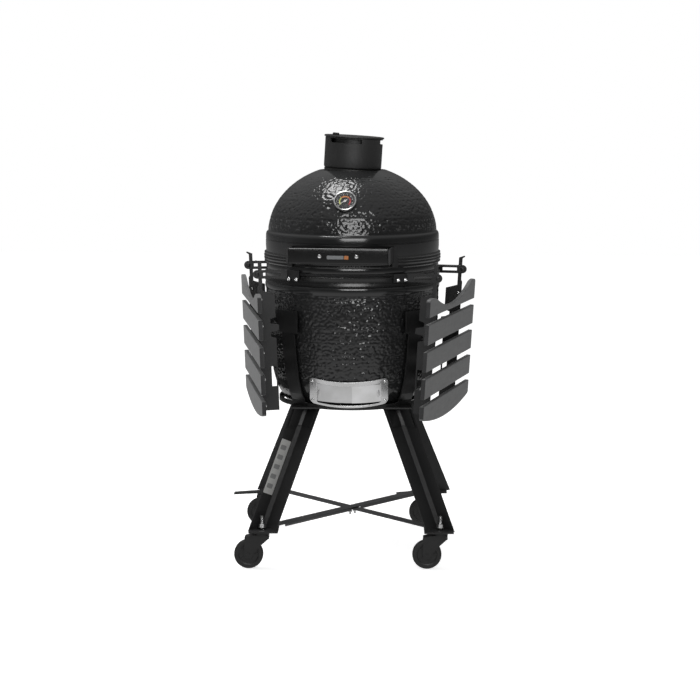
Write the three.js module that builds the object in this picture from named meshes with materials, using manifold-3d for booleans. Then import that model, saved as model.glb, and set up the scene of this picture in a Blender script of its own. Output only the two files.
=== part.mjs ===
// Kamado ceramic grill on a wheeled stand with two fold-down side shelves.
// Millimetres, +Z up, front towards -Y. Turns are degrees where a name ends in "Deg".
import * as THREE from "three";
import { mergeVertices } from "three/addons/utils/BufferGeometryUtils.js";
import Module from "manifold-3d";

const wasm = await Module();
wasm.setup();

const rad = THREE.MathUtils.degToRad;

// ---------------------------------------------------------------- driving sizes
const fit = 0.3; // gap kept between touching pieces
const round = 40; // facets round the big ceramic rings

const bowl = { bottom: 394, rim: 747, innerBottom: 406, innerRim: 202, seat: 226 };
const gasketThick = 3;
const baseGasketZ = bowl.rim + fit;
const domeGasketZ = baseGasketZ + gasketThick + fit;
const dome = {
  rim: domeGasketZ + gasketThick + fit,
  ledge: 848,
  arcCentre: 843,
  arcRadius: 220.5,
  arcHeight: 179,
  innerRadius: 199,
  innerHeight: 157,
  neckRadius: 78,
  neckTop: 1004,
  neckHole: 55,
};
const baseBand = { bottom: 722, top: 746, inner: 226.4, outer: 229.4 };
const domeBand = { bottom: 771, top: 797, inner: 227.6, outer: 231.4 };

const cap = { z: 1010.5, radius: 75, wall: 4.5, height: 76, leanDeg: 3.5, windows: 5, windowTall: 16 };
const capLid = { radius: 78, thick: 4.5, skirtOuter: 69.8, skirtWall: 3.5 };

const gauge = { z: 934, radius: 29, thick: 9, stem: 45, turnDeg: -1.1 };

const handle = { length: 251, bottom: 783.5, tall: 40, front: 268, deep: 20, turnDeg: -3.3, plate: 5.5 };

const hinge = { y: 276, z: 731, pinRadius: 5, pinLength: 132, domeEar: 36, baseEar: 52, earThick: 5 };

const draft = {
  z: 444, radius: 206, leanDeg: 10, turnDeg: 1.6,
  wide: 205, tall: 69, plate: 2.4, windowWide: 168, windowTall: 38,
  collarWide: 182, collarTall: 50, collarWall: 2.5, collarDeep: 26,
};
const panel = { tall: 44, halfDeg: 12, thick: 1.2, doorRadius: 202.9, screenRadius: 201.2 };

const standTurnDeg = 3.7; // the stand sits a little turned under the bowl
const ring = { bottom: 404, top: 416, inner: 181, wallInner: 190, outer: 193.3, flange: 3 };
const strap = { wide: 46, thick: 4, top: 657 };
const pad = { wide: 75, tall: 57, thick: 4.2, distance: 230.8 };
const stemAt = 228; // half the distance between the caster stems from side to side
const rearBy = 45; // the rear casters stand this much further from the middle than the front ones
const foot = { z: 97.3, thick: 4, outwards: 33, inwards: 42 };
const leg = {
  bottom: foot.z, top: ring.bottom - fit, webBottom: [228, 212], rearWebBottom: [236, 257], webTop: [117, 142],
  halfWeb: 6, flange: 28, thick: 3,
};
const brace = { wide: 28, thick: 3, lip: 9, reach: 200 };

const caster = { wheel: 37.5, wheelWide: 22, trail: 34.5, plate: 3, hoodTop: 88, collar: 19 };
const pedal = { pivotX: -26, pivotZ: 91.5, wide: 24, tip: -108 };

const shelf = {
  length: 480, slatThick: 11, slatTall: 51, pitch: 68.8, firstBottom: 88.2,
  slats: 5, railNear: -135, railFar: 128,
};
const rail = { thick: 4, deep: 43, top: 49, bottom: 352, neck: 9.5, neckBack: 12.5, tip: 28 };
const arm = { thick: 4, tall: 22, beyond: 11 };
const sides = [
  { name: "left", mirror: -1, planDeg: 77.6, radius: 263.5, pivotZ: 750, leanDeg: 2.1 },
  { name: "right", mirror: 1, planDeg: 77.6, radius: 267, pivotZ: 743, leanDeg: 3.5 },
];

// ---------------------------------------------------------------- materials
function paint(color, roughness, metalness) {
  return new THREE.MeshStandardMaterial({ color, roughness, metalness });
}
const glaze = paint(0x35363a, 0.18, 0.0);
const fireClay = paint(0xb9a58c, 0.9, 0.0);
const blackSteel = paint(0x17181a, 0.45, 0.6);
const castBlack = paint(0x1f2022, 0.7, 0.4);
const stainless = paint(0xc3c5c8, 0.28, 1.0);
const gripBlack = paint(0x121314, 0.3, 0.0);
const felt = paint(0x26262a, 1.0, 0.0);
const slatGrey = paint(0x55585b, 0.6, 0.0);
const rubber = paint(0x1c1d1e, 0.75, 0.0);
const lensGlass = paint(0xe6eef0, 0.05, 0.0);
const needleRed = paint(0xc8432b, 0.5, 0.2);

// ---------------------------------------------------------------- solid helpers
// A closed three.js geometry as a manifold solid with its faces turned outwards.
function solid(geometry) {
  const plain = new THREE.BufferGeometry();
  plain.setAttribute("position", geometry.getAttribute("position").clone());
  if (geometry.index) plain.setIndex(geometry.index.clone());
  const merged = mergeVertices(plain, 1e-3);
  const index = merged.index.array;
  const corners = [];
  for (let i = 0; i < index.length; i += 3) {
    const [a, b, c] = index.slice(i, i + 3);
    if (a !== b && b !== c && c !== a) corners.push(a, b, c);
  }
  const positions = new Float32Array(merged.attributes.position.array);
  const made = manifold(positions, corners);
  if (made.volume() >= 0) return made;
  for (let i = 0; i < corners.length; i += 3) {
    [corners[i + 1], corners[i + 2]] = [corners[i + 2], corners[i + 1]];
  }
  return manifold(positions, corners);
}

function manifold(vertProperties, corners) {
  const triVerts = new Uint32Array(corners);
  return new wasm.Manifold(new wasm.Mesh({ numProp: 3, vertProperties, triVerts }));
}

function join(...solids) {
  return solids.reduce((whole, next) => whole.add(next));
}

function cut(whole, ...tools) {
  return tools.reduce((left, tool) => left.subtract(tool), whole);
}

function named(name, made, material) {
  const raw = made.getMesh();
  const count = raw.numProp;
  const positions = new Float32Array(raw.numVert * 3);
  for (let i = 0; i < raw.numVert; i++) {
    positions.set(raw.vertProperties.subarray(i * count, i * count + 3), i * 3);
  }
  const geometry = new THREE.BufferGeometry();
  geometry.setAttribute("position", new THREE.BufferAttribute(positions, 3));
  geometry.setIndex(new THREE.BufferAttribute(raw.triVerts, 1));
  geometry.computeVertexNormals();
  const mesh = new THREE.Mesh(geometry, material);
  mesh.name = name;
  return mesh;
}

// A box from its low corner to its high corner.
function box(low, high) {
  const size = high.map((value, i) => value - low[i]);
  const geometry = new THREE.BoxGeometry(...size);
  geometry.translate(...low.map((value, i) => value + size[i] / 2));
  return solid(geometry);
}

// A profile of [radius, height] points turned about Z.
function turned(profile, facets = round) {
  const points = profile.map(([r, z]) => new THREE.Vector2(r, z));
  const geometry = new THREE.LatheGeometry(points, facets);
  geometry.rotateX(Math.PI / 2);
  return solid(geometry);
}

// A ring with a rectangular section, turned about Z.
function hoop(inner, outer, low, high, facets = round) {
  return turned([[inner, low], [outer, low], [outer, high], [inner, high], [inner, low]], facets);
}

// A round bar along "x", "y" or "z" from low to high, centred on at.
function bar(axis, radius, low, high, at = [0, 0, 0], facets = 16) {
  const geometry = new THREE.CylinderGeometry(radius, radius, high - low, facets);
  geometry.translate(0, (low + high) / 2, 0);
  if (axis === "x") geometry.rotateZ(-Math.PI / 2);
  if (axis === "z") geometry.rotateX(Math.PI / 2);
  geometry.translate(...at);
  return solid(geometry);
}

function outline(points) {
  return new THREE.Shape(points.map(([x, y]) => new THREE.Vector2(x, y)));
}

function roundedOutline(wide, tall, radius) {
  const x = wide / 2;
  const y = tall / 2;
  const shape = new THREE.Shape();
  shape.absarc(x - radius, y - radius, radius, 0, Math.PI / 2);
  shape.absarc(radius - x, y - radius, radius, Math.PI / 2, Math.PI);
  shape.absarc(radius - x, radius - y, radius, Math.PI, Math.PI * 1.5);
  shape.absarc(x - radius, radius - y, radius, Math.PI * 1.5, Math.PI * 2);
  return shape;
}

// A flat outline given thickness along Z, from low to high.
function slab(shape, low, high, curveSegments = 6) {
  const geometry = new THREE.ExtrudeGeometry(shape, { depth: high - low, bevelEnabled: false, curveSegments });
  geometry.translate(0, 0, low);
  return solid(geometry);
}

// An outline drawn in X and Z, given thickness along Y, from low to high.
function slabXZ(shape, low, high, curveSegments = 6) {
  const geometry = new THREE.ExtrudeGeometry(shape, { depth: high - low, bevelEnabled: false, curveSegments });
  geometry.rotateX(Math.PI / 2);
  geometry.translate(0, high, 0);
  return solid(geometry);
}

// An outline drawn in Y and Z, given thickness along X, from low to high.
function slabYZ(shape, low, high, curveSegments = 6) {
  const geometry = new THREE.ExtrudeGeometry(shape, { depth: high - low, bevelEnabled: false, curveSegments });
  geometry.rotateY(Math.PI / 2);
  geometry.rotateX(Math.PI / 2);
  geometry.translate(low, 0, 0);
  return solid(geometry);
}

// A curved plate round Z; plan angles run from the front (-Y) towards +X.
function arcPlate(inner, outer, fromDeg, toDeg, low, high) {
  const shape = new THREE.Shape();
  const from = rad(fromDeg - 90);
  const to = rad(toDeg - 90);
  shape.absarc(0, 0, outer, from, to, false);
  shape.absarc(0, 0, inner, to, from, true);
  return slab(shape, low, high, Math.max(2, Math.ceil((toDeg - fromDeg) / 6)));
}

function moved(made, matrix) {
  const raw = made.getMesh();
  const geometry = new THREE.BufferGeometry();
  geometry.setAttribute("position", new THREE.BufferAttribute(new Float32Array(raw.vertProperties), 3));
  geometry.setIndex(new THREE.BufferAttribute(raw.triVerts, 1));
  geometry.applyMatrix4(matrix);
  return solid(geometry);
}

function turnedAbout(axis, angleDeg) {
  const unit = { x: [1, 0, 0], y: [0, 1, 0], z: [0, 0, 1] }[axis];
  return new THREE.Matrix4().makeRotationAxis(new THREE.Vector3(...unit), rad(angleDeg));
}

function groupOf(...children) {
  const group = new THREE.Group();
  group.add(...children);
  return group;
}

// ---------------------------------------------------------------- ceramic body
function domeArc(radius, height, fromZ, toRadius, steps) {
  const start = Math.asin((fromZ - dome.arcCentre) / height);
  const end = Math.acos(toRadius / radius);
  const points = [];
  for (let i = 0; i <= steps; i++) {
    const angle = start + ((end - start) * i) / steps;
    points.push([radius * Math.cos(angle), dome.arcCentre + height * Math.sin(angle)]);
  }
  return points;
}

function makeDome() {
  const outerArc = domeArc(dome.arcRadius, dome.arcHeight, dome.ledge + 3, dome.neckRadius + 9, 12);
  const innerArc = domeArc(dome.innerRadius, dome.innerHeight, dome.arcCentre, dome.neckHole, 9);
  const profile = [
    [dome.innerRadius, dome.rim],
    [225, dome.rim],
    [225.4, domeBand.bottom - 3],
    [domeBand.inner - fit, domeBand.bottom],
    [domeBand.inner - fit, domeBand.top],
    [226.6, 828],
    [225.6, dome.ledge - 3],
    ...outerArc,
    [dome.neckRadius, dome.neckTop - 3],
    [dome.neckRadius - 2, dome.neckTop],
    [dome.neckHole, dome.neckTop],
    ...innerArc.reverse(),
    [dome.innerRadius, dome.rim],
  ];
  return named("dome", cut(turned(profile), gaugeHole()), glaze);
}

function bowlOuter() {
  const curve = new THREE.SplineCurve([
    new THREE.Vector2(118, bowl.bottom),
    new THREE.Vector2(150, 396),
    new THREE.Vector2(174, 407),
    new THREE.Vector2(195, 440),
    new THREE.Vector2(207, 478),
    new THREE.Vector2(217.5, 538),
    new THREE.Vector2(224.4, 612),
    new THREE.Vector2(226.4, 700),
  ]);
  return curve.getPoints(14).map((point) => [point.x, point.y]);
}

function makeBase() {
  const profile = [
    [0, bowl.bottom],
    ...bowlOuter(),
    [228.4, 706],
    [228.8, 712],
    [228.2, 718],
    [bowl.seat, 720.5],
    [bowl.seat, bowl.rim],
    [bowl.innerRim, bowl.rim],
    [200, 640],
    [190, 520],
    [176, 450],
    [150, 412],
    [0, bowl.innerBottom],
  ];
  const doorway = box([-93, -260, -27], [93, -110, 27]);
  const doorSeat = arcPlate(draft.radius - 6, 250, -31, 31, -37, 37);
  const placed = draftMatrix();
  return named("base", cut(turned(profile), moved(doorway, placed), moved(doorSeat, placed)), glaze);
}

function makeGasket(name, z) {
  return named(name, hoop(bowl.innerRim + 1, 223, z, z + gasketThick), felt);
}

// ---------------------------------------------------------------- fire parts
function makeFirebox() {
  const profile = [[0, 436], [150, 436], [166, 452], [168, 596], [151, 596], [149, 470], [140, 456], [0, 456]];
  const airHole = bar("z", 62, 430, 470, [0, 0, 0], 24);
  const mouth = box([-60, -190, 462], [60, -120, 492]);
  return named("firebox", cut(turned(profile, 32), airHole, mouth), fireClay);
}

function makeFireRing() {
  const low = 596 + fit;
  const profile = [[153, low], [190, low], [194, 686], [178, 686], [176, low + 14], [153, low + 14], [153, low]];
  return named("fire_ring", turned(profile, 32), fireClay);
}

function makeCharcoalGrate() {
  const low = 456 + fit;
  const slots = [-60, -36, -12, 12, 36, 60].map((x) => {
    const half = Math.sqrt(104 ** 2 - x ** 2) - 14;
    return box([x - 5, -half, low - 5], [x + 5, half, low + 20]);
  });
  return named("charcoal_grate", cut(bar("z", 104, low, low + 8, [0, 0, 0], 32), ...slots), castBlack);
}

function makeCookingGrate() {
  const low = 686 + fit;
  const bars = [];
  for (let x = -165; x <= 165; x += 30) {
    const half = Math.sqrt(189 ** 2 - x ** 2);
    bars.push(box([x - 2.5, -half, low], [x + 2.5, half, low + 5]));
  }
  return named("cooking_grate", join(hoop(186, 192, low, low + 6, 32), ...bars), stainless);
}

// ---------------------------------------------------------------- bands, hinge and handle
function makeDomeBand() {
  const { bottom, top, inner, outer } = domeBand;
  const rib = outer - 1.6;
  const profile = [[inner, bottom], [outer - 1.4, bottom], [rib, bottom + 5], [outer, bottom + 9]];
  profile.push([outer, top - 9], [rib, top - 5], [outer - 1.4, top], [inner, top], [inner, bottom]);
  return named("dome_band", turned(profile), blackSteel);
}

function makeBaseBand() {
  return named("base_band", hoop(baseBand.inner, baseBand.outer, baseBand.bottom, baseBand.top), blackSteel);
}

function makeHandleGrip() {
  const { length, bottom, tall, front, deep } = handle;
  const shape = roundedOutline(deep, tall, 5);
  const grip = slabYZ(shape, -length / 2, length / 2);
  const place = new THREE.Matrix4().makeTranslation(0, deep / 2 - front, bottom + tall / 2);
  return named("handle_grip", moved(grip, place), gripBlack);
}

// One end plate: covers the end of the grip, runs back to the dome band and bends along it.
function makeHandleBracket(name, mirror) {
  const inner = handle.length / 2 + fit;
  const outer = inner + handle.plate;
  const clear = domeBand.outer + 0.5;
  const low = handle.bottom + 1;
  const high = handle.bottom + handle.tall - 1;
  const plate = box([inner, -handle.front + 1, low], [outer, -Math.sqrt(clear ** 2 - outer ** 2) + 3, high]);
  const kept = cut(plate, bar("z", clear, low - 5, high + 5, [0, 0, 0], 120));
  const startDeg = THREE.MathUtils.radToDeg(Math.asin(inner / clear));
  const tab = arcPlate(clear, clear + 3.5, startDeg, startDeg + 4, domeBand.bottom, domeBand.top);
  const bend = arcPlate(clear, clear + 3.5, startDeg, startDeg + 3, domeBand.bottom, high);
  return named(name, moved(join(kept, tab, bend), new THREE.Matrix4().makeScale(mirror, 1, 1)), blackSteel);
}

function makeHandle() {
  const group = groupOf(
    makeHandleGrip(),
    makeHandleBracket("handle_bracket_left", -1),
    makeHandleBracket("handle_bracket_right", 1),
  );
  group.rotation.z = rad(handle.turnDeg);
  return group;
}

// Two ears from a band back to the pin, joined by a curved plate on the band.
function hingeBracket(name, bandSide, earAt, low, high, pinHole) {
  const clear = bandSide.outer + 0.5;
  const spread = THREE.MathUtils.radToDeg(Math.asin((earAt + hinge.earThick) / clear));
  const back = arcPlate(clear, clear + 4, 180 - spread, 180 + spread, low, high);
  const shape = outline([
    [clear - 4, low], [clear - 4, high], [clear + 14, high], [hinge.y + 7, hinge.z + 9],
    [hinge.y + 11, hinge.z], [hinge.y + 7, hinge.z - 9], [clear + 14, Math.min(low, hinge.z - 9)],
  ]);
  const ears = [-earAt - hinge.earThick, earAt].map((x) => slabYZ(shape, x, x + hinge.earThick));
  const bore = bar("x", pinHole, -80, 80, [0, hinge.y, hinge.z]);
  const inside = bar("z", clear, low - 60, high + 60, [0, 0, 0], 120);
  return named(name, cut(join(back, ...ears), bore, inside), blackSteel);
}

function makeHinge() {
  const { y, z, pinRadius, pinLength } = hinge;
  const pin = join(
    bar("x", pinRadius, -pinLength / 2, pinLength / 2, [0, y, z]),
    bar("x", pinRadius + 3, -pinLength / 2 - 4, -pinLength / 2, [0, y, z], 6),
    bar("x", pinRadius + 3, pinLength / 2, pinLength / 2 + 4, [0, y, z], 6),
  );
  return [
    hingeBracket("hinge_dome_bracket", domeBand, hinge.domeEar, domeBand.bottom, domeBand.top, pinRadius + 0.5),
    hingeBracket("hinge_base_bracket", baseBand, hinge.baseEar, baseBand.bottom, baseBand.top, pinRadius + fit),
    named("hinge_pin", pin, stainless),
    makeHingeSpring(),
  ];
}

class Coil extends THREE.Curve {
  constructor(radius, length, turns) {
    super();
    Object.assign(this, { radius, length, turns });
  }
  getPoint(t) {
    const angle = t * this.turns * Math.PI * 2;
    return new THREE.Vector3(
      (t - 0.5) * this.length,
      hinge.y + this.radius * Math.cos(angle),
      hinge.z + this.radius * Math.sin(angle),
    );
  }
}

function makeHingeSpring() {
  const wire = new THREE.Shape();
  wire.absarc(0, 0, 1.8, 0, Math.PI * 2);
  const path = new Coil(8.5, 56, 6);
  const geometry = new THREE.ExtrudeGeometry(wire, {
    steps: 60, extrudePath: path, curveSegments: 3, bevelEnabled: false,
  });
  return named("hinge_spring", solid(geometry), stainless);
}

// ---------------------------------------------------------------- vent cap
function makeVentBody() {
  const { radius, wall, height, windows, windowTall } = cap;
  const profile = [
    [48, -12], [51, -12], [51, 0], [radius, 0], [radius, height], [radius - wall, height],
    [radius - wall, 4], [48, 4], [48, -12],
  ];
  const cuts = [];
  for (let i = 0; i < windows; i++) {
    const middle = -9.5 + (360 / windows) * i;
    cuts.push(arcPlate(radius - 20, radius + 20, middle - 30, middle + 30, height - windowTall, height - 3));
  }
  return named("vent_body", cut(turned(profile, 40), ...cuts), castBlack);
}

function makeVentLid() {
  const { radius, thick, skirtOuter, skirtWall } = capLid;
  const low = cap.height + fit;
  const skirt = hoop(skirtOuter - skirtWall, skirtOuter, low - 22, low + 1, 40);
  const cuts = [];
  for (let i = 0; i < cap.windows; i++) {
    const middle = -9.5 + (360 / cap.windows) * i;
    cuts.push(arcPlate(skirtOuter - 20, skirtOuter + 20, middle - 22, middle + 22, low - 18, low - 2));
  }
  const disc = bar("z", radius, low, low + thick, [0, 0, 0], 40);
  const tab = moved(box([-12, -radius + 6, low + 1], [12, -radius + 12, low + thick + 5]), turnedAbout("z", -9.5));
  return named("vent_lid", join(cut(skirt, ...cuts), disc, tab), castBlack);
}

function makeVentCap() {
  const group = groupOf(makeVentBody(), makeVentLid());
  group.position.z = cap.z;
  group.rotation.y = rad(cap.leanDeg);
  return group;
}

// ---------------------------------------------------------------- thermometer
// Its axis follows the dome's surface normal at the gauge's height.
function gaugeMatrix() {
  const rise = gauge.z - dome.arcCentre;
  const radius = dome.arcRadius * Math.sqrt(1 - (rise / dome.arcHeight) ** 2);
  const elevation = Math.atan2(rise / dome.arcHeight ** 2, radius / dome.arcRadius ** 2);
  const out = 0.6;
  const place = new THREE.Matrix4().makeTranslation(
    0,
    -radius - out * Math.cos(elevation),
    gauge.z + out * Math.sin(elevation),
  );
  const tilt = new THREE.Matrix4().makeRotationX(Math.PI / 2 - elevation);
  return turnedAbout("z", gauge.turnDeg).multiply(place).multiply(tilt);
}

function gaugeHole() {
  return moved(bar("z", 5, -60, 30), gaugeMatrix());
}

function makeThermometer() {
  const { radius, thick, stem } = gauge;
  const profile = [
    [0, -stem], [3, -stem], [3, 0], [radius - 2, 0], [radius, 2], [radius, thick - 2],
    [radius - 2, thick], [radius - 4.5, thick], [radius - 4.5, thick - 5], [0, thick - 5],
  ];
  const body = named("thermometer_case", turned(profile, 32), stainless);
  const lens = named("thermometer_glass", bar("z", radius - 5, thick - 2, thick - 0.8, [0, 0, 0], 32), lensGlass);
  const face = thick - 5 + fit;
  const hub = bar("z", 3.2, face, face + 1.8, [0, 0, 0], 12);
  const pointer = slab(outline([[-1.4, -7], [1.4, -7], [0.5, 18], [-0.5, 18]]), face + 0.4, face + 1.2);
  const spun = moved(join(hub, pointer), turnedAbout("z", 125));
  const group = groupOf(body, lens, named("thermometer_needle", spun, needleRed));
  group.applyMatrix4(gaugeMatrix());
  return group;
}

// ---------------------------------------------------------------- draft door
// Local frame of the draft parts: a cylinder about Z of draft.radius, leaning with the bowl's wall.
function draftMatrix() {
  const lean = rad(draft.leanDeg);
  const place = new THREE.Matrix4().makeTranslation(
    0,
    -draft.radius * (1 - Math.cos(lean)),
    draft.z + draft.radius * Math.sin(lean),
  );
  return turnedAbout("z", draft.turnDeg).multiply(place).multiply(new THREE.Matrix4().makeRotationX(lean));
}

function makeDraftFrame() {
  const { radius, wide, tall, plate, windowWide, windowTall } = draft;
  const { collarWide, collarTall, collarWall, collarDeep } = draft;
  const face = arcPlate(radius - plate, radius, -31, 31, -tall / 2, tall / 2);
  const edge = slabXZ(roundedOutline(wide, tall, 14), -260, -100);
  const window = slabXZ(roundedOutline(windowWide, windowTall, 8), -260, -100);
  const frame = cut(face.intersect(edge), window);
  const inner = roundedOutline(collarWide - 2 * collarWall, collarTall - 2 * collarWall, 4);
  const tube = cut(
    slabXZ(roundedOutline(collarWide, collarTall, 6), -radius, -radius + collarDeep + 40),
    slabXZ(inner, -radius - 5, -radius + collarDeep + 45),
  );
  const sector = arcPlate(radius - collarDeep, radius - plate + 0.5, -31, 31, -tall / 2, tall / 2);
  return named("draft_frame", join(frame, tube.intersect(sector)), stainless);
}

function makePanel(name, outer, fromDeg) {
  const half = panel.tall / 2;
  return arcPlate(outer - panel.thick, outer, fromDeg, fromDeg + 2 * panel.halfDeg, -half, half);
}

function makeDraft() {
  const door = makePanel("draft_door", panel.doorRadius, 0.2);
  const screen = makePanel("draft_screen", panel.screenRadius, -0.2 - 2 * panel.halfDeg);
  const group = groupOf(
    makeDraftFrame(),
    named("draft_door", door, stainless),
    named("draft_screen", screen, stainless),
  );
  group.applyMatrix4(draftMatrix());
  return group;
}

// ---------------------------------------------------------------- stand
// The V section of a leg in plan: a narrow web and two flanges that open towards -Y.
function legSection(halfWeb, flange, thick, forward) {
  const lift = thick * Math.SQRT2 - thick;
  const tip = thick / Math.SQRT2;
  return outline([
    [-halfWeb - flange, -flange - forward],
    [-halfWeb, -forward],
    [halfWeb, -forward],
    [halfWeb + flange, -flange - forward],
    [halfWeb + flange + tip, tip - flange - forward],
    [halfWeb + lift, thick - forward],
    [-halfWeb - lift, thick - forward],
    [-halfWeb - flange - tip, tip - flange - forward],
  ]);
}

// Leans a plan section from the foot up to the cradle, keeping both ends level.
function leaning(section, low, high, webBottom) {
  const [x0, y0] = webBottom;
  const [x1, y1] = leg.webTop;
  const tall = leg.top - leg.bottom;
  const lean = new THREE.Matrix4().set(
    1, 0, (x1 - x0) / tall, x0 - ((x1 - x0) * leg.bottom) / tall,
    0, 1, (y0 - y1) / tall, -y0 - ((y0 - y1) * leg.bottom) / tall,
    0, 0, 1, 0,
    0, 0, 0, 1,
  );
  return moved(slab(section, low, high), lean);
}

// How much further out the rear corners, mirrored to positive y, stand than the front ones.
function backwards(mirrorY) {
  return mirrorY < 0 ? rearBy : 0;
}

function webBottom(mirrorY) {
  return mirrorY < 0 ? leg.rearWebBottom : leg.webBottom;
}

function makeLeg(name, mirrorX, mirrorY) {
  const back = backwards(mirrorY);
  const section = legSection(leg.halfWeb, leg.flange, leg.thick, 0);
  const channel = leaning(section, leg.bottom, leg.top, webBottom(mirrorY));
  const near = stemAt - foot.inwards;
  const far = stemAt + foot.outwards;
  const plate = box([near, -far - back, foot.z], [far, -near - back, foot.z + foot.thick]);
  const hole = bar("z", 5.5, foot.z - 5, foot.z + 20, [stemAt, -stemAt - back, 0]);
  const made = cut(join(channel, plate), hole);
  return named(name, moved(made, new THREE.Matrix4().makeScale(mirrorX, mirrorY, 1)), blackSteel);
}

// The strap's side outline, in distance from the axis and height, just clear of the bowl.
function makeStrap() {
  const inner = [
    [190.2, ring.bottom], [191, 422], [200, 440], [211.5, 478], [221, 538], [227.4, 612], [229, strap.top],
  ];
  const outer = inner.map(([r, z]) => [r + strap.thick, z]).reverse();
  return slabYZ(outline([...inner, ...outer]), -strap.wide / 2, strap.wide / 2);
}

function makeCradle() {
  const profile = [
    [ring.inner, ring.bottom], [ring.outer, ring.bottom], [ring.outer, ring.top], [ring.wallInner, ring.top],
    [ring.wallInner, ring.bottom + ring.flange], [ring.inner, ring.bottom + ring.flange], [ring.inner, ring.bottom],
  ];
  let cradle = turned(profile);
  const padPlate = box(
    [-pad.wide / 2, pad.distance, strap.top - pad.tall],
    [pad.wide / 2, pad.distance + pad.thick, strap.top],
  );
  const upright = join(makeStrap(), padPlate);
  const socket = legSection(leg.halfWeb - 1.4, 24, leg.thick, leg.thick + 1.4);
  const shoe = box([78, -176, ring.bottom], [154, -120, ring.bottom + 4]);
  for (const [mirrorX, mirrorY] of [[1, 1], [-1, 1], [-1, -1], [1, -1]]) {
    const mirror = new THREE.Matrix4().makeScale(mirrorX, mirrorY, 1);
    const corner = join(shoe, leaning(socket, 358, ring.bottom + 1, webBottom(mirrorY)));
    cradle = join(cradle, moved(moved(upright, turnedAbout("z", 225)), mirror), moved(corner, mirror));
  }
  const clearance = bar("z", ring.inner, 350, ring.bottom + 20, [0, 0, 0], round);
  return named("cradle", cut(cradle, clearance), blackSteel);
}

// A flat bar with a turned-down lip, from a front foot plate to the rear one across; the lip has a gap at the middle.
function makeBrace(name, low, turnDeg, gap) {
  const { wide, thick, lip, reach } = brace;
  const half = Math.hypot(reach, reach + rearBy / 2);
  const flat = box([-half, -wide / 2, low], [half, wide / 2, low + thick]);
  const lips = [-1, 1].map((end) => {
    const [from, to] = [(end * gap) / 2, end * (half - 30)].sort((a, b) => a - b);
    return box([from, -wide / 2, low + thick - lip], [to, -wide / 2 + 2.5, low + thick]);
  });
  const place = new THREE.Matrix4().makeTranslation(0, rearBy / 2, 0).multiply(turnedAbout("z", turnDeg));
  return named(name, moved(join(flat, ...lips), place), blackSteel);
}

function makeBraces() {
  const low = foot.z + foot.thick + fit;
  const turnDeg = THREE.MathUtils.radToDeg(Math.atan2(brace.reach + rearBy / 2, brace.reach));
  return [
    makeBrace("brace_lower", low, 180 - turnDeg, 0),
    makeBrace("brace_upper", low + brace.thick + fit, turnDeg, brace.wide + 8),
  ];
}

// ---------------------------------------------------------------- casters
function makeFork(name, braked) {
  const { trail, plate, hoodTop, wheel, wheelWide, collar } = caster;
  const inner = wheelWide / 2 + 1.5;
  const outer = inner + plate;
  const cheek = outline([
    [18, hoodTop], [-26, hoodTop], [-44, 83], [-45, 70], [-trail - 11, wheel],
    [-trail - 6, wheel - 10], [-trail + 6, wheel - 10], [-trail + 12, wheel], [-2, 62], [18, 80],
  ]);
  const cheeks = [slabXZ(cheek, -outer, -inner), slabXZ(cheek, inner, outer)];
  const hood = slabXZ(outline([[18, hoodTop], [-26, hoodTop], [-44, 83], [-44, 78], [18, 78]]), -outer, outer);
  const pieces = [
    ...cheeks,
    hood,
    bar("z", collar, hoodTop - 1, foot.z - fit, [0, 0, 0], 24),
    bar("z", 4.8, hoodTop, 138, [0, 0, 0], 12),
    bar("y", 4, -outer - 2, outer + 2, [-trail, 0, wheel], 12),
  ];
  if (braked) pieces.push(...pedalLugs(inner, outer));
  return named(name, join(...pieces), castBlack);
}

function pedalLugs(inner, outer) {
  const lug = outline([[pedal.pivotX - 5, 84], [pedal.pivotX + 5, 84], [pedal.pivotX + 5, 95], [pedal.pivotX - 5, 95]]);
  return [
    slabXZ(lug, -outer, -inner),
    slabXZ(lug, inner, outer),
    bar("y", 2, -outer, outer, [pedal.pivotX, 0, pedal.pivotZ], 12),
  ];
}

function makeWheel(name) {
  const half = caster.wheelWide / 2;
  const radius = caster.wheel;
  const profile = [
    [4.4, -half + 2], [9, -half], [24, -half + 1], [radius - 3, -half + 1], [radius, -half + 4],
    [radius, half - 4], [radius - 3, half - 1], [24, half - 1], [9, half], [4.4, half - 2], [4.4, -half + 2],
  ];
  const made = moved(turned(profile, 24), turnedAbout("x", 90));
  const place = new THREE.Matrix4().makeTranslation(-caster.trail, 0, radius);
  return named(name, moved(made, place), rubber);
}

function makePedal(name) {
  const half = pedal.wide / 2;
  const { pivotX, pivotZ, tip } = pedal;
  const side = outline([
    [pivotX + 3, pivotZ - 2.6], [pivotX + 4, pivotZ + 3.5], [pivotX - 8, pivotZ + 4], [-70, 93],
    [tip, 90], [tip, 86.5], [-72, 88.5], [-46, 89.5], [pivotX - 8, pivotZ - 2.2],
  ]);
  const lever = slabXZ(side, -half, half);
  return named(name, cut(lever, bar("y", 2.4, -20, 20, [pivotX, 0, pivotZ], 12)), castBlack);
}

function makeCaster(name, mirrorX, mirrorY) {
  const braked = mirrorY < 0;
  const group = groupOf(makeFork(`caster_fork_${name}`, braked), makeWheel(`caster_wheel_${name}`));
  if (braked) group.add(makePedal(`brake_pedal_${name}`));
  group.position.set(mirrorX * stemAt, -mirrorY * (stemAt + backwards(mirrorY)), 0);
  return group;
}

function makeStand() {
  const group = groupOf(makeCradle(), ...makeBraces());
  const corners = [["front_left", -1, 1], ["front_right", 1, 1], ["rear_left", -1, -1], ["rear_right", 1, -1]];
  for (const [name, mirrorX, mirrorY] of corners) {
    group.add(makeLeg(`leg_${name}`, mirrorX, mirrorY), makeCaster(name, mirrorX, mirrorY));
  }
  group.rotation.z = rad(standTurnDeg);
  return group;
}

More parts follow.
